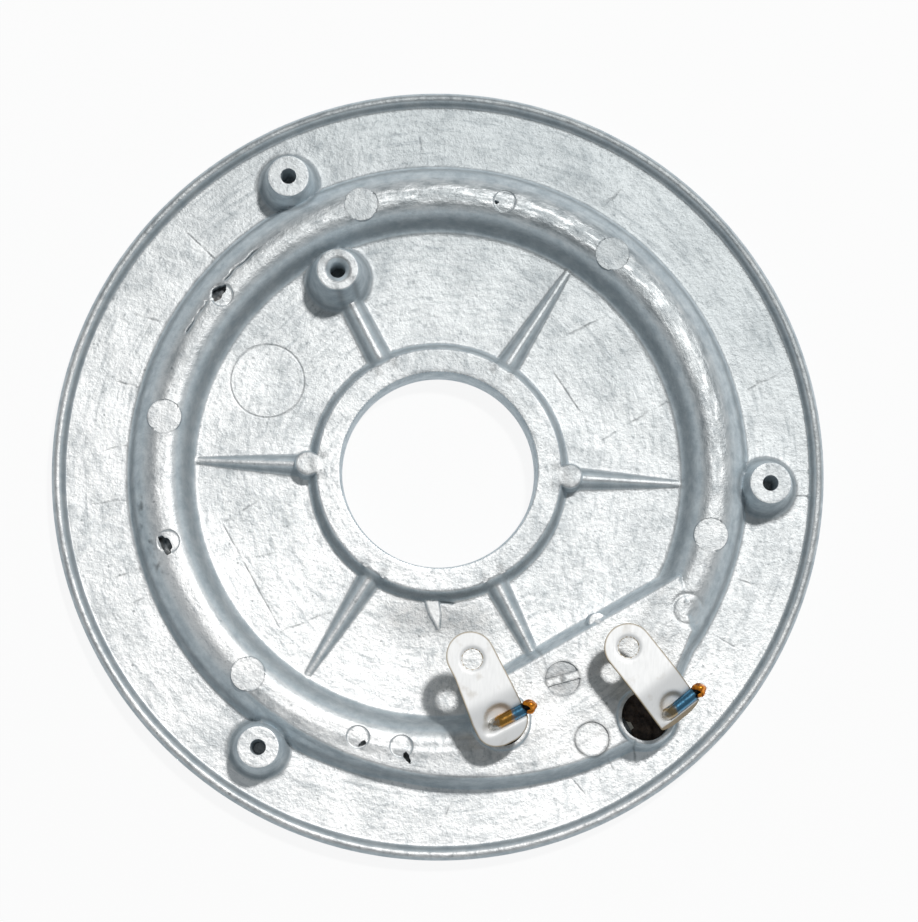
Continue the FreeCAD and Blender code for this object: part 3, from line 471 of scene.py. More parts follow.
# Painted shade inside the pits, the barred mark's recesses and the screw holes.
PIT_SHADE = (0.6, 0.4, 0.6)
CREST_SOIL = 0.08
BAR_MARK_SHADE = 0.38
BOSS_HOLE_SHADE = 0.3
INNER_HOLE_SHADE = 0.6
# Painted shade low on the ridge's inner wall and at the hub's foot, each darker towards one side of the
# plate.
RIDGE_WALL_SHADE = (0.4, 0.2)
RIDGE_WALL_BAND = 1.4
RIDGE_WALL_SPAN = (-40, 40)
HUB_WALL_SHADE = (0.42, 0.3)
HUB_WALL_BAND = 0.7
HUB_WALL_SPAN = (-15, 15)
SPECK_CELL = 0.8
SPECK_LEVEL = 0.66
# Painted shade: the flats grey towards this side, and the crest's painted glints gather there.
SHADED_SIDE = polar(1, 65) + (0,)
# Where the crest's torn scales and their painted glints lie: half widths about the ring, and shares growing
# towards the shaded side.
SCALY_HALF_WIDTHS = (3.0, 4.8)
SCALY_SPAN = (10, 50)
SCALY_SHARES = (0.25, 1)


def soft_dark_band(kind, distance):
    """A soft dark band: its strength times a bell curve of the distance from its middle."""
    strength, width = DEPOSIT_AND_SHADE_BANDS[kind]
    return strength * bell(distance, width)


def dark_line(kind, distance):
    """A sharp dark band: its strength on its middle line, falling evenly to nothing at its width."""
    strength, width = DEPOSIT_AND_SHADE_BANDS[kind]
    return strength * line(distance, width)


def dark_groove(kind, x, y, run):
    """A dark band along a run given by radius and angle, which wavers and fades as a groove does."""
    strength, width = DEPOSIT_AND_SHADE_BANDS[kind]
    return strength * groove(x, y, run, width)


def speckled(x, y, least, speckle, cell):
    """An uneven darkening: its least, and lattice noise of a cell times the speckle's strength."""
    return least + speckle * lattice_noise(x, y, cell)


def turned_shade_and_tone(x, y):
    """Painted shade at the rim's foot, the ridge's outer foot, low on the ridge's inner wall and at the hub's
    foot, the last two darker towards one side; the lip is speckled darker and the ridge's crest a little
    darker.
    """
    radius = np.hypot(x, y)
    from_ring = radius - RING_RADIUS
    lip = np.interp(RIM_RADIUS - radius, (0, 0.9, 1.5, RIM_WIDTH), (0, 1, 1, 0))
    ridge_wall = np.interp(x, RIDGE_WALL_SPAN, RIDGE_WALL_SHADE) * bell(from_ring + 5.6, RIDGE_WALL_BAND)
    hub_wall = np.interp(y, HUB_WALL_SPAN, HUB_WALL_SHADE) * bell(radius - HUB_MIDDLE - 3.2, HUB_WALL_BAND)
    return [
        soft_dark_band("rim_foot", radius - RIM_RADIUS + RIM_FOOT_WIDTH - 0.4), lip * speckled(x, y, *LIP_SOIL),
        soft_dark_band("ridge_foot", from_ring - RIDGE_HALF_FOOT + 0.8), ridge_wall,
        CREST_SOIL * (np.abs(from_ring) < RIDGE_HALF_TOP), hub_wall,
    ]


def standing_shade(x, y):
    """Painted shade on the ribs' flanks and round the feet of the bosses."""
    shares = []
    for number in range(RIB_COUNT):
        along, across, half = rib_place(x, y, number)[:3]
        on_rib = (along > RIB_SPAN[0]) & (along < RIB_SPAN[1])
        shares.append(on_rib * soft_dark_band("rib_flank", across / half - 0.85))
    feet = [(place, BOSS_FOOT) for place in boss_places()] + [(INNER_BOSS_PLACE, INNER_BOSS_FOOT)]
    return shares + [soft_dark_band("boss_foot", distance_to(x, y, centre) - foot - 0.2) for centre, foot in feet]


def marked_darkening(x, y):
    """Deposit in seams, cracks and the insert's outline, and as specks; a darker patch of floor by the flash
    finger.
    """
    on_floor = raised_forms(x, y) <= FLOOR + 0.3
    on_speck = lattice_noise(x, y, SPECK_CELL) > SPECK_LEVEL
    shares = [on_floor * soft_dark_band("dark_patch", distance_to_run(x, y, *DARK_PATCH))]
    shares.append(dark_line("insert", distance_to(x, y, INSERT_PLACE) - INSERT_RADIUS))
    shares += [dark_groove("seam", x, y, seam) for seam in SEAMS]
    shares += [dark_groove("crack", x, y, crack) for crack in CRACKS]
    return shares + [on_speck * dark_groove("specks", x, y, run) for run in SPECKS]


def pin_deposit_and_shade(x, y):
    """Deposit round the pin marks, the pit recesses and the bar's edges, and painted shade in the barred
    mark's recesses, the pits and the screw holes.
    """
    shares = [dark_line("pin_mark", distance_to(x, y, centre) - MARK_RADIUS) for centre in mark_places()]
    for place in PLATFORM_MARKS:
        edge = line(distance_to(x, y, polar(*place)) - MARK_RADIUS, PLATFORM_MARK_BAND)
        shares.append(edge * speckled(x, y, *PLATFORM_MARK_SOIL))
    within = distance_to(x, y, BAR_MARK) < MARK_RADIUS
    beyond_bar = across_bar(x, y) - MARK_BAR_HALF
    shares.append(within * dark_line("bar_edge", beyond_bar))
    shares.append(BAR_MARK_SHADE * within * (beyond_bar > 0))
    for pit in PITS:
        shares.append(dark_line("recess", distance_to(x, y, polar(RING_RADIUS, pit[0])) - RECESS_RADIUS))
        pit_shade = min(1, pit[3]) * speckled(x, y, *PIT_SHADE)
        shares.append(pit_shade * (pit_distance(x, y, pit) < 1.02))
    shares += [BOSS_HOLE_SHADE * (distance_to(x, y, centre) < BOSS_HOLE) for centre in boss_places()]
    return shares + [INNER_HOLE_SHADE * (distance_to(x, y, INNER_BOSS_PLACE) < INNER_HOLE)]


def deposit_and_shade(x, y):
    """Dark deposit and painted shade from 0 to 1: at each point the most of all that lies there."""
    return np.maximum.reduce(turned_shade_and_tone(x, y) + standing_shade(x, y) + marked_darkening(x, y) + pin_deposit_and_shade(x, y))


def scales_and_glints(x, y):
    """Torn scales with painted glints, from 0 to 1: on the ridge's crest, most towards the shaded side, none
    on pin marks and the platform.
    """
    crest = np.interp(np.abs(np.hypot(x, y) - RING_RADIUS), SCALY_HALF_WIDTHS, (1, 0))
    for centre in mark_places():
        crest *= distance_to(x, y, centre) > MARK_RADIUS
    crest *= outside(OUTLINE, x, y) > 0
    return crest * np.interp(x * SHADED_SIDE[0] + y * SHADED_SIDE[1], SCALY_SPAN, SCALY_SHARES)


def bare(x, y):
    """Smooth white metal from 0 to 1: on the flash finger beyond the hub's foot."""
    on_finger = distance_to_run(x, y, FLASH_START, FLASH_END) < flash_half_width(y)
    return 1.0 * (on_finger & (np.hypot(x, y) > HUB_MIDDLE + HUB_HALF_FOOT))


# Plan points of the casting's mesh: rings about the bore, circles about each round form and rows along the
# rest, all closer together where a wall bends

BOSS_CIRCLES = (0.7, 1.23, 1.63, 1.68, 2.3, 3.1, 3.8, 4.1, 4.3, 4.5, 4.75, 5.05, 5.4, 5.8, 6.2, 6.6, 7.1, 7.7)
INNER_BOSS_CIRCLES = (0.8, 1.62, 1.68, 2.0, 2.35, 2.55, 3.2, 3.9, 4.25, 4.4, 4.55, 4.75, 5.1, 5.5, 5.9,
                      6.3, 6.7, 7.2, 7.8, 8.4)
SOCKET_CIRCLES = (2.5, 4.6, 5.17, 5.23, 5.6, 5.9, 6.1, 6.3, 6.5, 6.75, 7.0, 7.4, 7.9)
MARK_CIRCLES = (1.0, 2.0, 2.9, 3.3, 3.57, 3.63, 3.9, 4.2)
LOBE_CIRCLES = (1.2, 2.1, 2.5, 2.7, 2.85, 3.05, 3.4)
RECESS_CIRCLES = (1.2, 1.9, 2.25, 2.35, 2.48, 2.6, 2.9)
PIP_CIRCLES = (0.8, 1.5, 1.8, 1.95, 2.15, 2.35)
BRUISE_CIRCLES = (1.5, 2.5, 2.9, 3.2, 3.5, 3.9)
INSERT_CIRCLES = (7.5, 7.75, 7.9, 8.05, 8.3)
ZONE_MARGIN = 0.25
RIB_ROWS = (-1.35, -1.1, -0.9, -0.6, -0.3, 0, 0.3, 0.6, 0.9, 1.1, 1.35)
RIB_STEPS = 44
PLATFORM_ROWS = (-2.6, -2.1, -1.7, -1.4, -1.0, -0.6, -0.3, 0, 0.4, 0.8, 1.2)
SEAM_ROWS = (-0.4, -0.15, 0, 0.15, 0.4)
PIT_LOOPS = (0.5, 0.95, 1.05, 1.35)
PIT_ZONE = 1.5
SEAM_SPACING = 0.4
SEAM_ZONE = 0.55
BAR_SPACING = 0.3
BAR_STEP = 0.04
BAR_ZONE = 0.2
PLATFORM_SPACING = 0.55
PLATFORM_ZONE_MIDDLE = 0.7
PLATFORM_ZONE_HALF = 2.2
FLASH_ROWS = np.arange(-1.8, 1.9, 0.2)
FLASH_SPACING = 0.3
RING_STEPS = (
    (20.6, 0.2), (21.4, 0.7), (25.4, 0.25), (28.6, 0.75), (50.6, 0.36), (56.6, 0.5),
    (62.0, 0.28), (67.4, 0.75), (78.8, 0.22), (80.9, 0.5), (82.1, 0.13),
)
RING_SPACING = 0.68
EDGE_STEPS = 480
EDGE_MARGIN = 0.05


def circles(centre, radii, spacing):
    """Points on circles about a centre, as many on each as the outermost needs at that spacing."""
    turns = np.linspace(0, 2 * np.pi, round(2 * np.pi * max(radii) / spacing), endpoint=False)
    radii = np.asarray(radii)[:, None]
    points = np.stack([centre[0] + radii * np.cos(turns), centre[1] + radii * np.sin(turns)], -1)
    return points.reshape(-1, 2)


def rows(start, end, offsets, spacing):
    """Points along a straight run, in rows at offsets to its left and right."""
    start, end = np.asarray(start), np.asarray(end)
    length = np.hypot(*(end - start))
    along = np.linspace(0, 1, max(3, round(length / spacing)))[:, None, None]
    side = np.array([start[1] - end[1], end[0] - start[0]]) / length
    return (start + along * (end - start) + np.asarray(offsets)[None, :, None] * side).reshape(-1, 2)


def round_forms():
    """Centre, circle radii and spacing for every round form, the most detailed first."""
    kinds = (
        (boss_places(), BOSS_CIRCLES, 0.45),
        ([INNER_BOSS_PLACE], INNER_BOSS_CIRCLES, 0.45),
        (SOCKETS, SOCKET_CIRCLES, 0.45),
        (mark_places(), MARK_CIRCLES, 0.4),
        ([polar(*place) for place in PLATFORM_MARKS], MARK_CIRCLES, 0.4),
        (LOBES, LOBE_CIRCLES, 0.4),
        ([polar(RING_RADIUS, pit[0]) for pit in PITS], RECESS_CIRCLES, 0.35),
        ([PIP_PLACE], PIP_CIRCLES, 0.35),
        ([BRUISE_PLACE], BRUISE_CIRCLES, 0.5),
        ([INSERT_PLACE], INSERT_CIRCLES, 0.5),
    )
    return [(centre, radii, spacing) for centres, radii, spacing in kinds for centre in centres]


def pit_points(pit):
    """Loops that follow a pit's ragged edge, inside and outside it."""
    angle, outward, round_ring, half_length, half_width, lean = pit
    turns = np.linspace(0, 2 * np.pi, 72, endpoint=False)
    middle = np.array(polar(RING_RADIUS + outward, angle)) + np.array(polar(round_ring, angle + 90))
    along = np.array(polar(1, angle + 90 + lean))
    across = np.array([-along[1], along[0]])
    ellipse = np.cos(turns)[:, None] * half_length * along + np.sin(turns)[:, None] * half_width * across
    edge = ellipse / pit_distance(*(middle + ellipse).T, pit)[:, None]
    return np.concatenate([middle + edge * share for share in PIT_LOOPS])


def bar_points():
    """Rows close on both sides of the two edges of the bar across a platform mark."""
    reach = np.array(polar(MARK_RADIUS - 0.1, MARK_BAR_TURN))
    offsets = [side * (MARK_BAR_HALF + step) for side in (1, -1) for step in (-BAR_STEP, BAR_STEP)]
    return rows(BAR_MARK - reach, BAR_MARK + reach, offsets, BAR_SPACING)


def rib_points(number):
    """Rows along one rib at fixed shares of its half width."""
    along = np.linspace(RIB_SPAN[0] + 1.5, RIB_SPAN[1] - 1, RIB_STEPS)[:, None]
    half = rib_size(along, number)[0]
    out = np.array(polar(1, 360 / RIB_COUNT * number))
    side = np.array([-out[1], out[0]])
    return (along[..., None] * out + (half * np.array(RIB_ROWS))[..., None] * side).reshape(-1, 2)


def in_rib(x, y, number):
    """True where a rib's own rows lie."""
    along, across, half = rib_place(x, y, number)[:3]
    return (along > RIB_SPAN[0] + 1.3) & (along < RIB_SPAN[1] - 0.8) & (across < 1.5 * half)


def ring_points():
    """Rings about the bore's axis, closer together on the walls."""
    stops = [radius for radius, step in RING_STEPS] + [RIM_RADIUS]
    radii = [np.arange(start, end - step / 3, step) for (start, step), end in zip(RING_STEPS, stops[1:])]
    return np.concatenate([circles((0, 0), [radius], RING_SPACING) for radius in np.concatenate(radii)[1:]])


def keep_outside(points, zones):
    """The points that lie in none of the zones, each a function of the plan that is true inside."""
    for zone in zones:
        points = points[~zone(points[:, 0], points[:, 1])]
    return points


def plan_points():
    """All plan points; a form listed earlier keeps later points out of its own zone."""
    zones = []
    groups = []

    def lay(points, zone=None):
        """Add points outside the zones so far, then their own zone if they have one."""
        groups.append(keep_outside(points, zones))
        if zone:
            zones.append(zone)

    for pit in PITS:
        lay(pit_points(pit), lambda x, y, pit=pit: pit_distance(x, y, pit) < PIT_ZONE)
    for seam in SEAMS + CRACKS:
        ends = seam_ends(seam)
        lay(rows(*ends, SEAM_ROWS, SEAM_SPACING),
            lambda x, y, ends=ends: distance_to_run(x, y, *ends) < SEAM_ZONE)
    lay(bar_points(), lambda x, y: (np.abs(across_bar(x, y) - MARK_BAR_HALF) < BAR_ZONE)
        & (distance_to(x, y, BAR_MARK) < MARK_RADIUS))
    for centre, radii, spacing in round_forms():
        nearest = (min(radii) if centre == INSERT_PLACE else 0) - ZONE_MARGIN
        lay(circles(centre, radii, spacing),
            lambda x, y, centre=centre, nearest=nearest, farthest=max(radii) + ZONE_MARGIN:
            (distance_to(x, y, centre) < farthest) & (distance_to(x, y, centre) > nearest))
    for start, end in zip(OUTLINE, np.roll(OUTLINE, -1, 0)):
        lay(rows(start, end, PLATFORM_ROWS, PLATFORM_SPACING))
    zones.append(lambda x, y: np.abs(outside(OUTLINE, x, y) - PLATFORM_ZONE_MIDDLE) < PLATFORM_ZONE_HALF)
    for number in range(RIB_COUNT):
        lay(rib_points(number), lambda x, y, number=number: in_rib(x, y, number))
    lay(rows(FLASH_START, FLASH_END, FLASH_ROWS, FLASH_SPACING))
    lay(ring_points())
    plan = np.concatenate(groups)
    radius = np.hypot(*plan.T)
    return plan[(radius > BORE_RADIUS + EDGE_MARGIN) & (radius < RIM_RADIUS - EDGE_MARGIN)]


# Mesh of the casting: the cast underside, then the turned edge, cooking face and bore


def turned_profile():
    """Radius and height from the rim's top edge round the shoulder, over the cooking face and up the bore."""
    arc = np.radians(np.linspace(-15, -SHOULDER_SLOPE, 12))
    side = np.stack([RIM_RADIUS - SHOULDER_ROUND + SHOULDER_ROUND * np.cos(arc),
                     SHOULDER_LEVEL + SHOULDER_ROUND * np.sin(arc)], 1)
    turn = np.radians(np.linspace(-SHOULDER_SLOPE, -90, 6))
    shoulder = np.stack([FACE_RADIUS + SHOULDER_ROUND * np.cos(turn),
                         SHOULDER_ROUND + SHOULDER_ROUND * np.sin(turn)], 1)
    face = np.linspace(FACE_RADIUS - 4, BORE_RADIUS + 0.3, 12)
    face = np.stack([face, np.zeros_like(face)], 1)
    bore = np.stack([np.full(4, BORE_RADIUS), np.linspace(0.3, BORE_MOUTH_LEVEL - 1.5, 4)], 1)
    return np.concatenate([side, shoulder, face, bore])


def cast_skin(circle):
    """Plan points, triangles between them, and the points of the bore's and the rim's edge in their order."""
    plan = np.concatenate([circle * BORE_RADIUS, circle * RIM_RADIUS, plan_points()])
    found = delaunay_2d_cdt([Vector(point) for point in plan.tolist()], [], [], 0, 1e-4)
    plan = np.array([tuple(point) for point in found[0]])
    sources = np.array([group[0] if group else -1 for group in found[3]])
    on_edge = (sources >= 0) & (sources < 2 * EDGE_STEPS)
    place = np.empty(2 * EDGE_STEPS, int)
    place[sources[on_edge]] = np.nonzero(on_edge)[0]
    bore_ring, rim_ring = place[:EDGE_STEPS], place[EDGE_STEPS:]
    faces = np.array(found[2])
    return plan, faces[~np.isin(faces, bore_ring).all(1)], bore_ring, rim_ring


def casting_mesh():
    """Triangles over the plan points lifted to the cast height, closed below by the turned profile."""
    turns = np.linspace(0, 2 * np.pi, EDGE_STEPS, endpoint=False)
    circle = np.stack([np.cos(turns), np.sin(turns)], 1)
    plan, faces, bore_ring, rim_ring = cast_skin(circle)
    heights = cast_height(*plan.T)
    heights[bore_ring] = BORE_MOUTH_LEVEL
    heights[rim_ring] = RIM_LEVEL - RIM_ROUND
    top = np.column_stack([plan, heights])
    profile = turned_profile()
    radii = profile[:, 0][:, None, None] * circle
    levels = np.broadcast_to(profile[:, 1][:, None, None], radii.shape[:2] + (1,))
    below = np.concatenate([radii, levels], 2).reshape(-1, 3)
    grid = len(top) + np.arange(len(below)).reshape(len(profile), EDGE_STEPS)
    grid = np.concatenate([rim_ring[None], grid, bore_ring[None]])
    after = np.roll(grid, -1, 1)
    quads = np.stack([grid[:-1], grid[1:], after[1:], after[:-1]], -1).reshape(-1, 4)
    skin = {name: np.concatenate([field(*plan.T), np.zeros(len(below))])
            for name, field in (("deposit_and_shade", deposit_and_shade), ("scales_and_glints", scales_and_glints), ("bare", bare))}
    return np.concatenate([top, below]), faces, quads, skin


def make_piece(name, points, faces):
    """A smooth-shaded object from points in millimetres and faces."""
    mesh = bpy.data.meshes.new(name)
    mesh.from_pydata((np.asarray(points) * MM).tolist(), [], faces)
    mesh.shade_smooth()
    piece = bpy.data.objects.new(name, mesh)
    bpy.context.scene.collection.objects.link(piece)
    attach(piece, "root")
    return piece


def add_field(piece, name, values):
    """Put one value per point on a piece, for its material to read."""
    field = piece.data.attributes.new(name, "FLOAT", "POINT")
    field.data.foreach_set("value", values.astype(np.float32))


points, triangles, quads, skin = casting_mesh()
casting = make_piece("cast_plate", points, triangles.tolist() + quads.tolist())
casting.data.set_sharp_from_angle(angle=math.radians(58))
for name, values in skin.items():
    add_field(casting, name, values)
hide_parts("plate_casting")

# Terminals: each is worked out with its pin's foot at the origin and the pin's level end along X

TAB_LEVEL = 24.5
TAB_THICKNESS = 1.0
TAB_HALF_WIDTH = 5.0
TAB_MIDDLE = 2.4
TAB_HOLE_REACH = 14.0
TAB_HOLE_RADIUS = 2.1
TAB_EDGE_ROUND = 0.22
TAB_OUTLINE_BAND = 0.4
TAB_SPACING = 0.4
TAB_GRID = 0.45
SLIVER_AREA = 0.002
CREASE_REACH = 4.7
CREASE_ANGLE = 18
CREASE_RUN = 1.2
FOLD_RUN = 0.5
FOLD_GAP = 0.1
TONGUE_ROUND = 4.4
GROOVE_DEPTH = 2.0
GROOVE_RUN = 1.2
GROOVE_START = (-1.6, 0.3)
ARCH_RADIUS = 3.3
ARCH_REACH = 0.9
POCKET_DEPTH = 1.5
POCKET_SLOPE = 1.5
LIP_DROP = 0.25
LIP_RUN = 0.45
LIP_STEPS = (0.12, 0.25, 0.4, 0.6, 0.85)
FLARE_SPAN = (1.6, 12.0)
ROD_RADIUS = 1.3
ROD_LEVEL = 22.4
ROD_LENGTH = 8.4
BEAD_RADIUS = 1.48
BEAD_REACH = 0.1
SEAL_LEVEL = 8.2
SEAL_GAP = 0.02
SEAL_FOOT = SOCKET_FLOOR + 0.1
SEAL_RINGS = 22
SEAL_LUMPS = ((1.4, 1.3, 0.6), (0.5, 0.5, 0.5))
AXIS_RADIUS = 0.05
FEET = {"inner": (13.441, -54.041), "outer": (48.039, -48.87)}
YAWS = {"inner": 30, "outer": 41}
LEANS = {"inner": 0.0, "outer": 1.9}
TONGUE_ANGLES = {"inner": 18, "outer": 75}
TONGUE_LENGTHS = {"inner": 3.6, "outer": 4.5}
FLARES = {"inner": 1.2, "outer": 0.0}
END_SHIFTS = {"inner": 0.8, "outer": 0.0}
TAB_HOLE = (TAB_MIDDLE, TAB_HOLE_REACH)


def along_strip(reach):
    """Place along the flattened strip of a point on its slope, given by its level reach from the pin."""
    return CREASE_REACH - (CREASE_REACH - reach) / math.cos(math.radians(CREASE_ANGLE))


def fold_place(end):
    """Place along the flattened strip where the tongue folds down behind the pin."""
    return along_strip(-LEANS[end] - ROD_RADIUS - FOLD_GAP)


def arc_points(centre, radius, start, end):
    """Points on an arc between two angles in degrees, about six degrees apart."""
    turns = np.radians(np.linspace(start, end, 2 + round(abs(end - start) / 6)))
    return np.stack([centre[0] + radius * np.cos(turns), centre[1] + radius * np.sin(turns)], 1)


def tab_outline(end):
    """The flattened strip: a round end, its left side, a round tongue beyond the pin and its right side."""
    left, right = TAB_MIDDLE - TAB_HALF_WIDTH, TAB_MIDDLE + TAB_HALF_WIDTH
    tip = fold_place(end) - TONGUE_LENGTHS[end]
    return np.concatenate([
        arc_points((TAB_MIDDLE, TAB_HOLE_REACH + END_SHIFTS[end]), TAB_HALF_WIDTH, 0, 180),
        arc_points((left + TONGUE_ROUND, tip + TONGUE_ROUND), TONGUE_ROUND, 180, 270),
        arc_points((right - TONGUE_ROUND, tip + TONGUE_ROUND), TONGUE_ROUND, 270, 360),
    ])


def split_runs(outline, spacing):
    """An outline with every straight run split into steps no longer than the spacing."""
    runs = []
    for start, end in zip(outline, np.roll(outline, -1, 0)):
        count = max(1, math.ceil(np.hypot(*(end - start)) / spacing))
        runs.append(start + np.arange(count)[:, None] / count * (end - start))
    return np.concatenate(runs)


def bend_strip(along, end):
    """Reach and height along a strip: its slope grows at the crease and the fold, and its run is summed."""
    fold = fold_place(end)
    step = 0.05
    places = np.arange(along.max(), along.min() - step, -step)
    bends = (fold - FOLD_RUN, fold + FOLD_RUN, CREASE_REACH - CREASE_RUN, CREASE_REACH + CREASE_RUN)
    slope = np.interp(places, bends, (TONGUE_ANGLES[end], CREASE_ANGLE, CREASE_ANGLE, 0))
    reach = places[0] - step * np.cumsum(np.cos(np.radians(slope)))
    height = TAB_LEVEL - step * np.cumsum(np.sin(np.radians(slope)))
    return np.interp(along, places[::-1], reach[::-1]), np.interp(along, places[::-1], height[::-1])


def place_terminal(points, end):
    """Turn points from a terminal's own place into the plate's frame."""
    turn = math.radians(YAWS[end])
    x = FEET[end][0] + points[:, 0] * math.cos(turn) - points[:, 1] * math.sin(turn)
    y = FEET[end][1] + points[:, 0] * math.sin(turn) + points[:, 1] * math.cos(turn)
    return np.column_stack([x, y, points[:, 2]])


def tab_plan(outline):
    """Plan points of a flattened strip: its outline, a loop inside it, circles round its hole and a grid."""
    tangent = np.roll(outline, -1, 0) - np.roll(outline, 1, 0)
    inward = np.column_stack([-tangent[:, 1], tangent[:, 0]]) / np.hypot(*tangent.T)[:, None]
    rims = [arc_points(TAB_HOLE, TAB_HOLE_RADIUS + step, 0, 354) for step in (0,) + LIP_STEPS]
    low, high = outline.min(0), outline.max(0)
    steps = [np.arange(low[axis], high[axis], TAB_GRID) for axis in (0, 1)]
    grid = np.stack(np.meshgrid(*steps), -1).reshape(-1, 2)
    inside = outside(outline, *grid.T) < -TAB_OUTLINE_BAND - 0.2
    inside &= distance_to(*grid.T, TAB_HOLE) > TAB_HOLE_RADIUS + max(LIP_STEPS) + 0.2
    return np.concatenate([outline, outline + TAB_OUTLINE_BAND * inward, *rims, grid[inside]])


def strip_form(plan, end):
    """Place of each plan point on the bent strip, flared to the left and sunk round the pin and the hole.

    The pocket over the pin falls by an eased step from its arch inward. The groove under the pin is a bell
    curve of the distance from the pin's line, and the hole's lip one of the distance from the hole's edge.
    """
    reach, height = bend_strip(plan[:, 1], end)
    arch = (TAB_MIDDLE, along_strip(ARCH_REACH - LEANS[end]))
    inward = np.clip((ARCH_RADIUS - distance_to(*plan.T, arch)) / POCKET_SLOPE, 0, 1)
    pocket = np.where(plan[:, 1] > arch[1], inward ** 2 * (3 - 2 * inward), 0)
    groove_share = np.interp(plan[:, 0], GROOVE_START, (0, 1))
    groove_share *= bell(plan[:, 1] - along_strip(-LEANS[end]), GROOVE_RUN)
    height -= np.maximum(POCKET_DEPTH * pocket, GROOVE_DEPTH * groove_share)
    height -= LIP_DROP * bell(distance_to(*plan.T, TAB_HOLE) - TAB_HOLE_RADIUS, LIP_RUN)
    leftward = (TAB_MIDDLE + TAB_HALF_WIDTH - plan[:, 0]) / (2 * TAB_HALF_WIDTH)
    flare = FLARES[end] * leftward * np.interp(plan[:, 1], FLARE_SPAN, (1, 0))
    return np.column_stack([plan[:, 0] - flare, reach, height])


def tab_faces(outline):
    """Plan points and triangles of a flattened strip, without slivers and without its hole."""
    plan = tab_plan(outline)
    edges = [(place, (place + 1) % len(outline)) for place in range(len(outline))]
    found = delaunay_2d_cdt([Vector(point) for point in plan.tolist()], edges, [], 0, 1e-5)
    plan = np.array([tuple(point) for point in found[0]])
    faces = np.array(found[2])
    middles = plan[faces].mean(1)
    first, second = (plan[faces[:, corner]] - plan[faces[:, 0]] for corner in (1, 2))
    kept = np.abs(first[:, 0] * second[:, 1] - first[:, 1] * second[:, 0]) > SLIVER_AREA
    kept &= outside(outline, *middles.T) < 0
    kept &= distance_to(*middles.T, TAB_HOLE) > TAB_HOLE_RADIUS - 0.02
    return plan, faces[kept]


def make_tab(end):
    """A tab: triangles over the flattened strip, bent into shape and then given their thickness."""
    outline = split_runs(tab_outline(end), TAB_SPACING)
    plan, faces = tab_faces(outline)
    piece = make_piece(f"tab_{end}", place_terminal(strip_form(plan, end), end), faces.tolist())
    sheared = np.isclose(outside(outline, *plan.T), 0, atol=0.02)
    sheared |= distance_to(*plan.T, TAB_HOLE) < TAB_HOLE_RADIUS + min(LIP_STEPS)
    add_field(piece, "sheared", sheared)
    solid = piece.modifiers.new("thickness", "SOLIDIFY")
    solid.thickness = TAB_THICKNESS * MM
    solid.offset = -1
    bevel = piece.modifiers.new("edges", "BEVEL")
    bevel.width = TAB_EDGE_ROUND * MM
    bevel.segments = 2
    bevel.limit_method = "ANGLE"
    bevel.angle_limit = math.radians(50)
    bevel.harden_normals = True
    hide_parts(f"terminal_tab_{end}")
    return piece


def turned_body(radii, levels, steps):
    """Points and faces of a closed body: rings of given radii and levels, with a flat cap at each end."""
    turns = np.linspace(0, 2 * np.pi, steps, endpoint=False)
    radii, levels = np.asarray(radii)[:, None], np.asarray(levels)[:, None]
    points = np.stack([radii * np.cos(turns), radii * np.sin(turns), levels + 0 * turns], -1).reshape(-1, 3)
    rings = np.arange(len(points)).reshape(-1, steps)
    after = np.roll(rings, -1, 1)
    sides = np.stack([rings[:-1], after[:-1], after[1:], rings[1:]], -1).reshape(-1, 4)
    return points, sides.tolist() + [rings[0][::-1].tolist(), rings[-1].tolist()]


def make_bead(end):
    """A drop of braze round the rod's end: a ball whose radius swells and sinks with the direction."""
    rise = np.radians(np.linspace(-86, 86, 22))
    points, faces = turned_body(np.cos(rise), np.sin(rise), 32)
    x, y, z = points.T
    swell = 1 + 0.10 * np.sin(3 * x + 4 * y) + 0.08 * np.sin(6 * z + 3 * x)
    points = points * swell[:, None] * BEAD_RADIUS
    points += (ROD_LENGTH + BEAD_REACH, -LEANS[end], ROD_LEVEL)
    piece = make_piece(f"bead_{end}", place_terminal(points, end), faces)
    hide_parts(f"braze_bead_{end}")
    return piece


def make_seal(end, centre):
    """The compound in a socket: a plug with a lumpy top, coarse and fine waves added to its level."""
    wall = SOCKET_RADIUS - SEAL_GAP
    radii = np.concatenate([[AXIS_RADIUS, wall], np.linspace(wall, AXIS_RADIUS, SEAL_RINGS)])
    levels = np.concatenate([[SEAL_FOOT, SEAL_FOOT], np.full(SEAL_RINGS, SEAL_LEVEL)])
    points, faces = turned_body(radii, levels, 72)
    points[:, :2] += centre
    lumps = sum(waves(*points[:, :2].T, *lump) for lump in SEAL_LUMPS)
    points[:, 2] += (points[:, 2] > SEAL_FOOT) * lumps
    piece = make_piece(f"seal_{end}", points, faces)
    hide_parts(f"socket_seal_{end}")
    return piece


tabs = {end: make_tab(end) for end in FEET}
beads = {end: make_bead(end) for end in FEET}
seals = {end: make_seal(end, centre) for end, centre in zip(FEET, SOCKETS)}

# Materials: each is made of nodes that read object coordinates, with pattern sizes given in millimetres

MIX_SHARE = 0
VALUE_FIRST, VALUE_SECOND, VALUE_RESULT = 2, 3, 0
COLOUR_FIRST, COLOUR_SECOND, COLOUR_RESULT = 6, 7, 2


def linear(hex_colour):
    """An sRGB hex colour as linear red, green, blue and full opacity."""
    parts = [int(hex_colour[place:place + 2], 16) / 255 for place in (1, 3, 5)]
    parts = [part / 12.92 if part <= 0.04045 else ((part + 0.055) / 1.055) ** 2.4 for part in parts]
    return (*parts, 1.0)


def per_metre(size_mm):
    """Pattern scale whose features are about this many millimetres."""
    return 1000 / size_mm


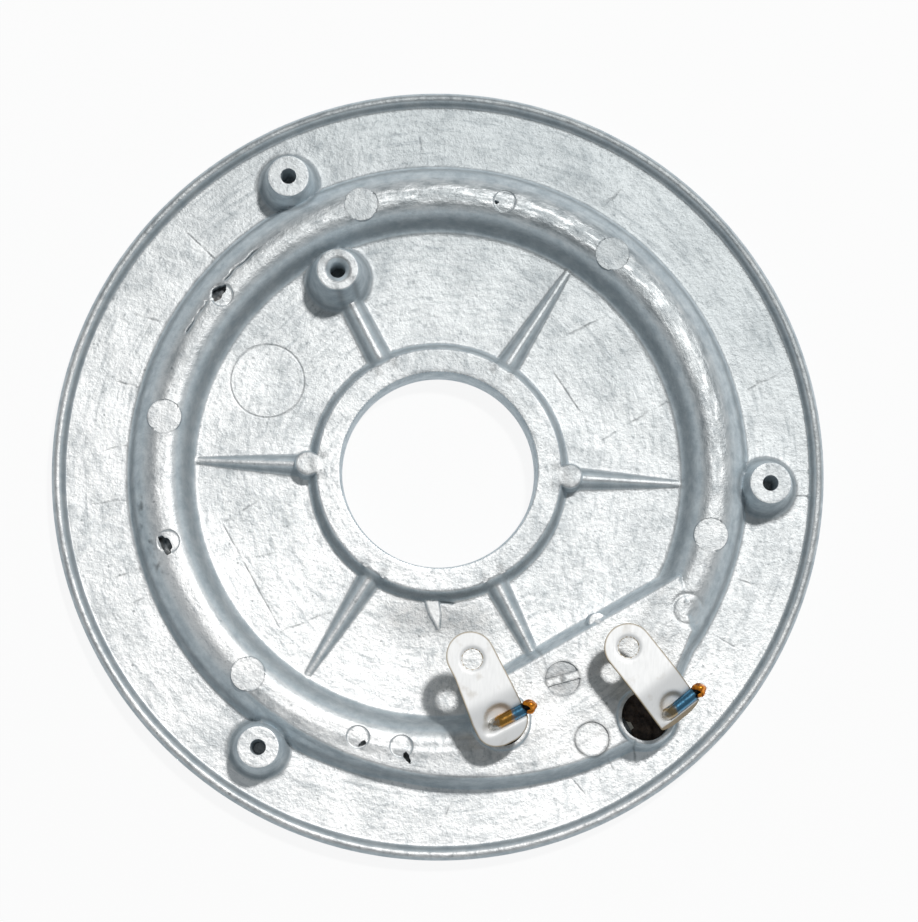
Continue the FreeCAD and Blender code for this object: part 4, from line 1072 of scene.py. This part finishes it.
def add(tree, kind, result, inputs, **settings):
    """Add a node with its settings, set or link its inputs by name or number, and return one output."""
    node = tree.nodes.new("ShaderNode" + kind)
    for name, value in settings.items():
        setattr(node, name, value)
    for name, value in inputs.items():
        if isinstance(value, bpy.types.NodeSocket):
            tree.links.new(value, node.inputs[name])
        else:
            node.inputs[name].default_value = value
    return node.outputs[result] if result is not None else None


def cover(tree, colour, second, amount, low=0.0, high=1.0, most=1.0):
    """Lay a second colour over the first where an amount goes from low to high, up to a greatest share."""
    share = add(tree, "MapRange", "Result",
                {"Value": amount, "From Min": low, "From Max": high, "To Max": most})
    inputs = {MIX_SHARE: share, COLOUR_FIRST: colour, COLOUR_SECOND: second}
    return add(tree, "Mix", COLOUR_RESULT, inputs, data_type="RGBA")


def gloss(tree, amount, low, high):
    """Roughness that goes from low to high as a pattern's amount goes through its middle, from 0.3 to 0.7."""
    return add(tree, "MapRange", "Result",
               {"Value": amount, "From Min": 0.3, "From Max": 0.7, "To Min": low, "To Max": high})


def new_material(name):
    """An empty node material, its tree and its object coordinates."""
    material = bpy.data.materials.new(name)
    material.use_nodes = True
    material.node_tree.nodes.clear()
    return material, material.node_tree, add(material.node_tree, "TexCoord", "Object", {})


def close(tree, inputs):
    """Close a material with its one shader."""
    shader = add(tree, "BsdfPrincipled", "BSDF", inputs)
    add(tree, "OutputMaterial", None, {"Surface": shader})


def upward(tree):
    """How far a surface faces up, from 1 for level to -1 for the underside."""
    normal = add(tree, "NewGeometry", "Normal", {})
    return add(tree, "SeparateXYZ", "Z", {"Vector": normal})


def from_axis(tree, coords):
    """Level direction and distance from the bore's axis."""
    flat = add(tree, "VectorMath", "Vector", {0: coords, 1: (1, 1, 0)}, operation="MULTIPLY")
    return flat, add(tree, "VectorMath", "Value", {0: flat}, operation="LENGTH")


def tangential(tree, coords, pull_mm):
    """Coordinates drawn out round the bore: a short step away from its axis, with the radius as depth."""
    flat, radius = from_axis(tree, coords)
    way = add(tree, "VectorMath", "Vector", {0: flat}, operation="NORMALIZE")
    way = add(tree, "VectorMath", "Vector", {0: way, "Scale": pull_mm * MM}, operation="SCALE")
    depth = add(tree, "CombineXYZ", "Vector", {"Z": radius})
    return add(tree, "VectorMath", "Vector", {0: way, 1: depth}, operation="ADD")


def flow_streaks(tree, coords):
    """Streaks where the molten metal ran: drawn out round the bore, and in patches on a slant."""
    slant = add(tree, "Mapping", "Vector",
                {"Vector": coords, "Rotation": (0, 0, math.radians(-35)), "Scale": (1, 0.35, 1)})
    fine = {"Detail": 5.0, "Roughness": 0.62}
    slanting = add(tree, "TexNoise", "Fac", {"Vector": slant, "Scale": per_metre(1.2), **fine})
    round_bore = tangential(tree, coords, 9)
    circling = add(tree, "TexNoise", "Fac", {"Vector": round_bore, "Scale": per_metre(1.1), **fine})
    patches = add(tree, "TexNoise", "Fac", {"Vector": coords, "Scale": per_metre(24)})
    share = add(tree, "MapRange", "Result", {"Value": patches, "From Min": 0.52, "From Max": 0.64})
    return add(tree, "Mix", VALUE_RESULT, {MIX_SHARE: share, VALUE_FIRST: circling, VALUE_SECOND: slanting})


def flat_colour(tree, coords, grain, clouds):
    """Colour of the level cast skin: white to one side and greyer to the other as painted shade, clouded,
    streaked and dotted.
    """
    # Painted shade: the flats' colours grey towards the shaded side.
    across = add(tree, "VectorMath", "Value", {0: coords, 1: SHADED_SIDE}, operation="DOT_PRODUCT")
    pale = cover(tree, linear("#ffffff"), linear("#afb4b6"), across, -45 * MM, 60 * MM)
    shade = cover(tree, linear("#a3aaae"), linear("#7a8185"), across, -45 * MM, 60 * MM)
    patches = add(tree, "TexNoise", "Fac",
                  {"Vector": coords, "Scale": per_metre(17), "Detail": 3.0, "Roughness": 0.55})
    patchy = add(tree, "MapRange", "Result",
                 {"Value": patches, "From Min": 0.38, "From Max": 0.62, "To Min": 0.2})
    cloudy = add(tree, "MapRange", "Result",
                 {"Value": clouds, "From Min": 0.46, "From Max": 0.74, "To Max": 0.7})
    cloudy = add(tree, "Math", "Value", {0: cloudy, 1: patchy}, operation="MULTIPLY")
    dots = add(tree, "TexVoronoi", "Distance", {"Vector": coords, "Scale": per_metre(3.4)})
    colour = cover(tree, pale, shade, cloudy)
    colour = cover(tree, colour, shade, patches, 0.42, 0.66, 0.3)
    colour = cover(tree, colour, shade, flow_streaks(tree, coords), 0.5, 0.68, 0.55)
    colour = cover(tree, colour, shade, grain, 0.56, 0.7, 0.5)
    return cover(tree, colour, linear("#7b8286"), dots, 0.11, 0.05, 0.55)


def torn_scales(tree, coords):
    """Scales torn in the crest's skin: their raised parts for painted glints, their gaps for painted shade,
    and their relief.
    """
    torn = add(tree, "Attribute", "Fac", {}, attribute_name="scales_and_glints")
    scales = add(tree, "TexNoise", "Fac", {"Vector": tangential(tree, coords, 14), "Scale": per_metre(1.1),
                                           "Detail": 4.0, "Roughness": 0.62})
    raised = add(tree, "MapRange", "Result", {"Value": scales, "From Min": 0.5, "From Max": 0.6})
    sunk = add(tree, "MapRange", "Result", {"Value": scales, "From Min": 0.46, "From Max": 0.38})
    parts = (raised, sunk, scales)
    return [add(tree, "Math", "Value", {0: part, 1: torn}, operation="MULTIPLY") for part in parts]


def cast_aluminium():
    """Pressure die-cast aluminium: pale, grainy flats streaked by the metal's flow.

    Its flats are painted greyer to one side and its walls bluish by their facing, as painted reflection;
    its torn crest has painted glints, and dark deposit and painted shade lie in marks, corners and holes.
    """
    material, tree, coords = new_material("die_cast_aluminium")
    level = upward(tree)
    deposit_and_shade_share = add(tree, "Attribute", "Fac", {}, attribute_name="deposit_and_shade")
    smooth = add(tree, "Attribute", "Fac", {}, attribute_name="bare")
    grain = add(tree, "TexNoise", "Fac",
                {"Vector": coords, "Scale": per_metre(0.8), "Detail": 4.0, "Roughness": 0.65})
    clouds = add(tree, "TexNoise", "Fac",
                 {"Vector": coords, "Scale": per_metre(2.8), "Detail": 6.0, "Roughness": 0.66})
    painted_glint, painted_gap_shade, relief = torn_scales(tree, coords)
    wall_colour = cover(tree, linear("#e6eff4"), linear("#c6d2d9"), clouds, 0.35, 0.65)
    # Colour of the dark deposit in marks and of the painted shade at feet, in recesses and in holes.
    grime_and_shade_colour = cover(tree, linear("#2d2a27"), linear("#38434a"), clouds, 0.4, 0.6)
    colour = flat_colour(tree, coords, grain, clouds)
    # Painted reflection: faces tilted from level take the bluish wall colour.
    colour = cover(tree, colour, wall_colour, level, 0.985, 0.8)
    # Painted shade in the gaps between the crest's scales and painted glints on their raised parts.
    colour = cover(tree, colour, linear("#7f868a"), painted_gap_shade, most=0.35)
    colour = cover(tree, colour, linear("#f4f6f7"), painted_glint, most=0.36)
    colour = cover(tree, colour, grime_and_shade_colour, deposit_and_shade_share)
    colour = cover(tree, colour, linear("#eff0f0"), smooth)
    oxide = add(tree, "MapRange", "Result",
                {"Value": level, "From Min": 0.985, "From Max": 0.88, "To Min": 1.0, "To Max": 0.45})
    oxide = add(tree, "Mix", VALUE_RESULT, {MIX_SHARE: smooth, VALUE_FIRST: oxide, VALUE_SECOND: 0.4})
    rough = add(tree, "MapRange", "Result",
                {"Value": level, "From Min": 0.96, "From Max": 0.75, "To Min": 0.52, "To Max": 0.72})
    rough = add(tree, "Math", "Value", {0: painted_glint, 1: -0.05, 2: rough}, operation="MULTIPLY_ADD")
    bump = add(tree, "Bump", "Normal", {"Height": grain, "Strength": 0.8, "Distance": 0.12 * MM})
    for height, strength, depth_mm in ((clouds, 0.4, 0.25), (relief, 0.35, 0.3)):
        bump = add(tree, "Bump", "Normal",
                   {"Height": height, "Strength": strength, "Distance": depth_mm * MM, "Normal": bump})
    close(tree, {"Base Color": colour, "Metallic": oxide, "Roughness": rough, "Normal": bump})
    return material


def turned_aluminium():
    """Turned aluminium of the cooking face: fine rings from the lathe tool that draw the light into a fan.

    The rings are 0.8 mm apart, coarser than a real feed, so that they show.
    """
    material, tree, coords = new_material("turned_aluminium")
    radius = from_axis(tree, coords)[1]
    feed = add(tree, "Math", "Value", {0: radius, 1: 2 * math.pi * per_metre(0.8)}, operation="MULTIPLY")
    rings = add(tree, "Math", "Value", {0: feed}, operation="SINE")
    uneven = add(tree, "TexNoise", "Fac",
                 {"Vector": tangential(tree, coords, 4), "Scale": per_metre(0.9), "Detail": 3.0})
    clouds = add(tree, "TexNoise", "Fac", {"Vector": coords, "Scale": per_metre(14), "Detail": 3.0})
    colour = cover(tree, linear("#e6e8e9"), linear("#c9cdd0"), uneven, 0.35, 0.65)
    colour = cover(tree, colour, linear("#b7bcc0"), clouds, 0.45, 0.7, 0.4)
    height = add(tree, "Math", "Value", {0: rings, 1: uneven}, operation="ADD")
    bump = add(tree, "Bump", "Normal", {"Height": height, "Strength": 0.25, "Distance": 0.02 * MM})
    rough = gloss(tree, uneven, 0.24, 0.36)
    close(tree, {"Base Color": colour, "Metallic": 1.0, "Roughness": rough, "Normal": bump})
    return material


def plated_strip():
    """Satin nickel plate on steel strip: a matt white skin with rolling lines, brown sheared edges, and
    painted beige-brown shade on faces that turn downward.

    The rolling lines are 0.35 mm apart, coarser than real ones, so that they show.
    """
    material, tree, coords = new_material("nickel_plated_strip")
    rolled = add(tree, "Mapping", "Vector",
                 {"Vector": coords, "Rotation": (0, 0, math.radians(35)), "Scale": (1, 0.12, 1)})
    lines = add(tree, "TexNoise", "Fac", {"Vector": rolled, "Scale": per_metre(0.35), "Detail": 3.0})
    stains = add(tree, "TexNoise", "Fac", {"Vector": coords, "Scale": per_metre(3.5), "Detail": 3.0})
    sheared = add(tree, "Attribute", "Fac", {}, attribute_name="sheared")
    colour = cover(tree, linear("#f8f8f8"), linear("#ebecec"), lines, 0.4, 0.7, 0.35)
    colour = cover(tree, colour, linear("#c0b8ab"), stains, 0.58, 0.75, 0.4)
    # Painted shade: faces that turn away from level, such as the bent-down tongue, grow beige-brown.
    colour = cover(tree, colour, linear("#a08e70"), upward(tree), 0.8, 0.35)
    colour = cover(tree, colour, linear("#8f7b52"), sheared, 0.1, 0.9, 0.9)
    bump = add(tree, "Bump", "Normal", {"Height": lines, "Strength": 0.08, "Distance": 0.02 * MM})
    rough = gloss(tree, lines, 0.5, 0.6)
    close(tree, {"Base Color": colour, "Metallic": 0.4, "Roughness": rough, "Normal": bump})
    return material


def drawn_metal(name, bright, dull, size_mm, roughness):
    """Drawn metal of the pieces inside the tube: clouded between two greys with a soft gloss."""
    material, tree, coords = new_material(name)
    clouds = add(tree, "TexNoise", "Fac", {"Vector": coords, "Scale": per_metre(size_mm), "Detail": 4.0})
    colour = cover(tree, linear(bright), linear(dull), clouds, 0.35, 0.65)
    rough = gloss(tree, clouds, roughness - 0.06, roughness + 0.06)
    close(tree, {"Base Color": colour, "Metallic": 1.0, "Roughness": rough})
    return material


def packed_mineral(name, pale, dark, size_mm):
    """Fired or packed mineral: matt, grainy and clouded between two tones."""
    material, tree, coords = new_material(name)
    grain = add(tree, "TexNoise", "Fac",
                {"Vector": coords, "Scale": per_metre(size_mm), "Detail": 5.0, "Roughness": 0.6})
    colour = cover(tree, linear(pale), linear(dark), grain, 0.35, 0.68)
    bump = add(tree, "Bump", "Normal", {"Height": grain, "Strength": 0.4, "Distance": 0.2 * MM})
    close(tree, {"Base Color": colour, "Roughness": 0.85, "Normal": bump})
    return material


# Heat colours along each pin's level end: where a colour starts and is full, in millimetres from the upright

HEAT_COLOURS = {
    "inner": ((0.6, 1.6, "#b98a45"), (4.4, 5.4, "#5688a8"), (6.9, 7.4, "#191716")),
    "outer": ((-0.6, 0.6, "#9c8a6c"), (1.4, 2.6, "#5688a8"), (6.9, 7.4, "#191716")),
}


def heat_tinted_steel(end):
    """Steel pin with heat colours along its level end: straw, then blue, then black before the braze."""
    material, tree, coords = new_material(f"heat_tinted_steel_{end}")
    foot = Vector((FEET[end][0] * MM, FEET[end][1] * MM, 0))
    placed = add(tree, "VectorMath", "Vector", {0: coords, 1: foot}, operation="SUBTRACT")
    direction = polar(1, YAWS[end]) + (0,)
    along = add(tree, "VectorMath", "Value", {0: placed, 1: direction}, operation="DOT_PRODUCT")
    ripple = add(tree, "TexNoise", "Fac", {"Vector": coords, "Scale": per_metre(1.6), "Detail": 3.0})
    ripple = add(tree, "MapRange", "Result",
                 {"Value": ripple, "From Min": 0.2, "From Max": 0.8, "To Min": -1.2 * MM, "To Max": 1.2 * MM})
    reach = add(tree, "Math", "Value", {0: ripple, 1: along}, operation="ADD")
    grain = add(tree, "TexNoise", "Fac", {"Vector": coords, "Scale": per_metre(0.5), "Detail": 3.0})
    colour = cover(tree, linear("#c9c8c4"), linear("#a3a29e"), grain, 0.35, 0.65)
    for start, full, heat_colour in HEAT_COLOURS[end]:
        colour = cover(tree, colour, linear(heat_colour), reach, start * MM, full * MM)
    rough = gloss(tree, grain, 0.2, 0.34)
    close(tree, {"Base Color": colour, "Metallic": 1.0, "Roughness": rough})
    return material


def braze_copper():
    """Fused copper braze: bright orange drop with darker oxide freckles."""
    material, tree, coords = new_material("fused_copper_braze")
    freckles = add(tree, "TexNoise", "Fac",
                   {"Vector": coords, "Scale": per_metre(0.8), "Detail": 4.0, "Roughness": 0.6})
    colour = cover(tree, linear("#f0962a"), linear("#8a4a1a"), freckles, 0.45, 0.65)
    bump = add(tree, "Bump", "Normal", {"Height": freckles, "Strength": 0.5, "Distance": 0.15 * MM})
    rough = gloss(tree, freckles, 0.25, 0.45)
    close(tree, {"Base Color": colour, "Metallic": 0.8, "Roughness": rough, "Normal": bump})
    return material


def sealing_compound():
    """Poured and baked sealing compound: brown-black, lumpy, with a dull skin."""
    material, tree, coords = new_material("baked_sealing_compound")
    lumps = add(tree, "TexNoise", "Fac",
                {"Vector": coords, "Scale": per_metre(1.8), "Detail": 5.0, "Roughness": 0.6})
    colour = cover(tree, linear("#382f2a"), linear("#6b5b50"), lumps, 0.4, 0.7)
    bump = add(tree, "Bump", "Normal", {"Height": lumps, "Strength": 0.9, "Distance": 0.6 * MM})
    close(tree, {"Base Color": colour, "Roughness": 0.7, "Normal": bump})
    return material


def dress(piece, *materials):
    """Give a piece or a CAD node its materials."""
    piece.data.materials.clear()
    for material in materials:
        piece.data.materials.append(material)


# The casting's turned faces are those of the cooking face, outside the bore

FACE_LEVEL = 0.4
dress(casting, cast_aluminium(), turned_aluminium())
centres = points[quads].mean(1)
turned = np.zeros(len(casting.data.polygons), np.int32)
turned[len(triangles):] = (centres[:, 2] < FACE_LEVEL) & (np.hypot(*centres[:, :2].T) > BORE_RADIUS + 0.2)
casting.data.polygons.foreach_set("material_index", turned)

strip = plated_strip()
copper = braze_copper()
compound = sealing_compound()
ceramic = packed_mineral("fired_ceramic", "#ece8df", "#cfc8ba", 1.0)
for end in FEET:
    dress(tabs[end], strip)
    dress(beads[end], copper)
    dress(seals[end], compound)
    dress(nodes[f"cold_pin_{end}"], heat_tinted_steel(end))
    dress(nodes[f"mouth_bush_{end}"], ceramic)
dress(nodes["heater_sheath"], drawn_metal("drawn_steel_tube", "#8d8f90", "#6c6f70", 4.0, 0.4))
dress(nodes["resistance_coil"], drawn_metal("drawn_resistance_wire", "#83807c", "#5f5c59", 2.0, 0.35))
dress(nodes["magnesia_fill"], packed_mineral("packed_magnesia", "#ece6da", "#d5cdbc", 0.8))

# Camera at the photograph's place: nearly overhead, with the picture's up direction a little left of Y

PICTURE_TURN = 2.7
CAMERA_PLACE = Vector((-0.00871, -0.0808, 0.69527))
PICTURE_UP = Vector(polar(1, 90 + PICTURE_TURN) + (0,))
back = CAMERA_PLACE.normalized()
right = PICTURE_UP.cross(back).normalized()
camera_data = bpy.data.cameras.new("camera")
camera_data.sensor_width = 36
camera_data.lens = 127.05
camera_data.shift_x = 0.0227
camera_data.shift_y = 0.0148
camera = bpy.data.objects.new("camera", camera_data)
facing = Matrix((right, back.cross(right), back)).transposed()
camera.matrix_world = Matrix.Translation(CAMERA_PLACE) @ facing.to_4x4()
bpy.context.scene.collection.objects.link(camera)
bpy.context.scene.camera = camera
bpy.context.scene.view_settings.view_transform = "Standard"

# Studio: white paper ground, an even pale sky and one key lamp from the picture's upper right

GROUND_HALF = 3.0
GROUND_LEVEL = -0.0003
GROUND_GLOW = 0.9
KEY_DIRECTION = (0.25, 0.37, 1)  # across, up and out of the picture
KEY_DISTANCE = 2.2
KEY_SIZE = 0.14
KEY_POWER = 26.3
KEY_COLOUR = (1, 0.985, 0.965)
SKY_STRENGTH = 0.36
WHITE = (1, 1, 1, 1)


def white_ground():
    """Matt white ground that the camera and reflections see as white, with the object's shadow kept."""
    material, tree = new_material("white_paper_ground")[:2]
    seen = 0.0
    for ray in ("Is Camera Ray", "Is Glossy Ray", "Is Transmission Ray"):
        seen = add(tree, "Math", "Value", {0: seen, 1: add(tree, "LightPath", ray, {})}, operation="MAXIMUM")
    share = add(tree, "Math", "Value", {0: seen, 1: GROUND_GLOW}, operation="MULTIPLY")
    matt = add(tree, "BsdfDiffuse", "BSDF", {"Color": linear("#f4f4f4")})
    glow = add(tree, "Emission", "Emission", {"Color": WHITE, "Strength": 1.0})
    mixed = add(tree, "MixShader", "Shader", {0: share, 1: matt, 2: glow})
    add(tree, "OutputMaterial", None, {"Surface": mixed})
    return material


corners = [(x * GROUND_HALF, y * GROUND_HALF, GROUND_LEVEL) for x, y in ((-1, -1), (1, -1), (1, 1), (-1, 1))]
ground = bpy.data.meshes.new("ground")
ground.from_pydata(corners, [], [(0, 1, 2, 3)])
ground.materials.append(white_ground())
ground_object = bpy.data.objects.new("ground", ground)
bpy.context.scene.collection.objects.link(ground_object)

key_data = bpy.data.lights.new("key", "AREA")
key_data.size = KEY_SIZE
key_data.energy = KEY_POWER
key_data.color = KEY_COLOUR
key = bpy.data.objects.new("key", key_data)
toward_key = Matrix.Rotation(math.radians(PICTURE_TURN), 3, "Z") @ Vector(KEY_DIRECTION)
key.location = toward_key.normalized() * KEY_DISTANCE
key.rotation_euler = key.location.to_track_quat("Z", "Y").to_euler()
bpy.context.scene.collection.objects.link(key)

world = bpy.data.worlds.new("studio")
world.use_nodes = True
sky = world.node_tree
sky.nodes.clear()
fill = add(sky, "Background", "Background", {"Color": linear("#dfe6ea"), "Strength": SKY_STRENGTH})
white = add(sky, "Background", "Background", {"Color": WHITE, "Strength": 1.0})
seen_sky = add(sky, "MixShader", "Shader", {0: add(sky, "LightPath", "Is Camera Ray", {}), 1: fill, 2: white})
add(sky, "OutputWorld", None, {"Surface": seen_sky})
bpy.context.scene.world = world
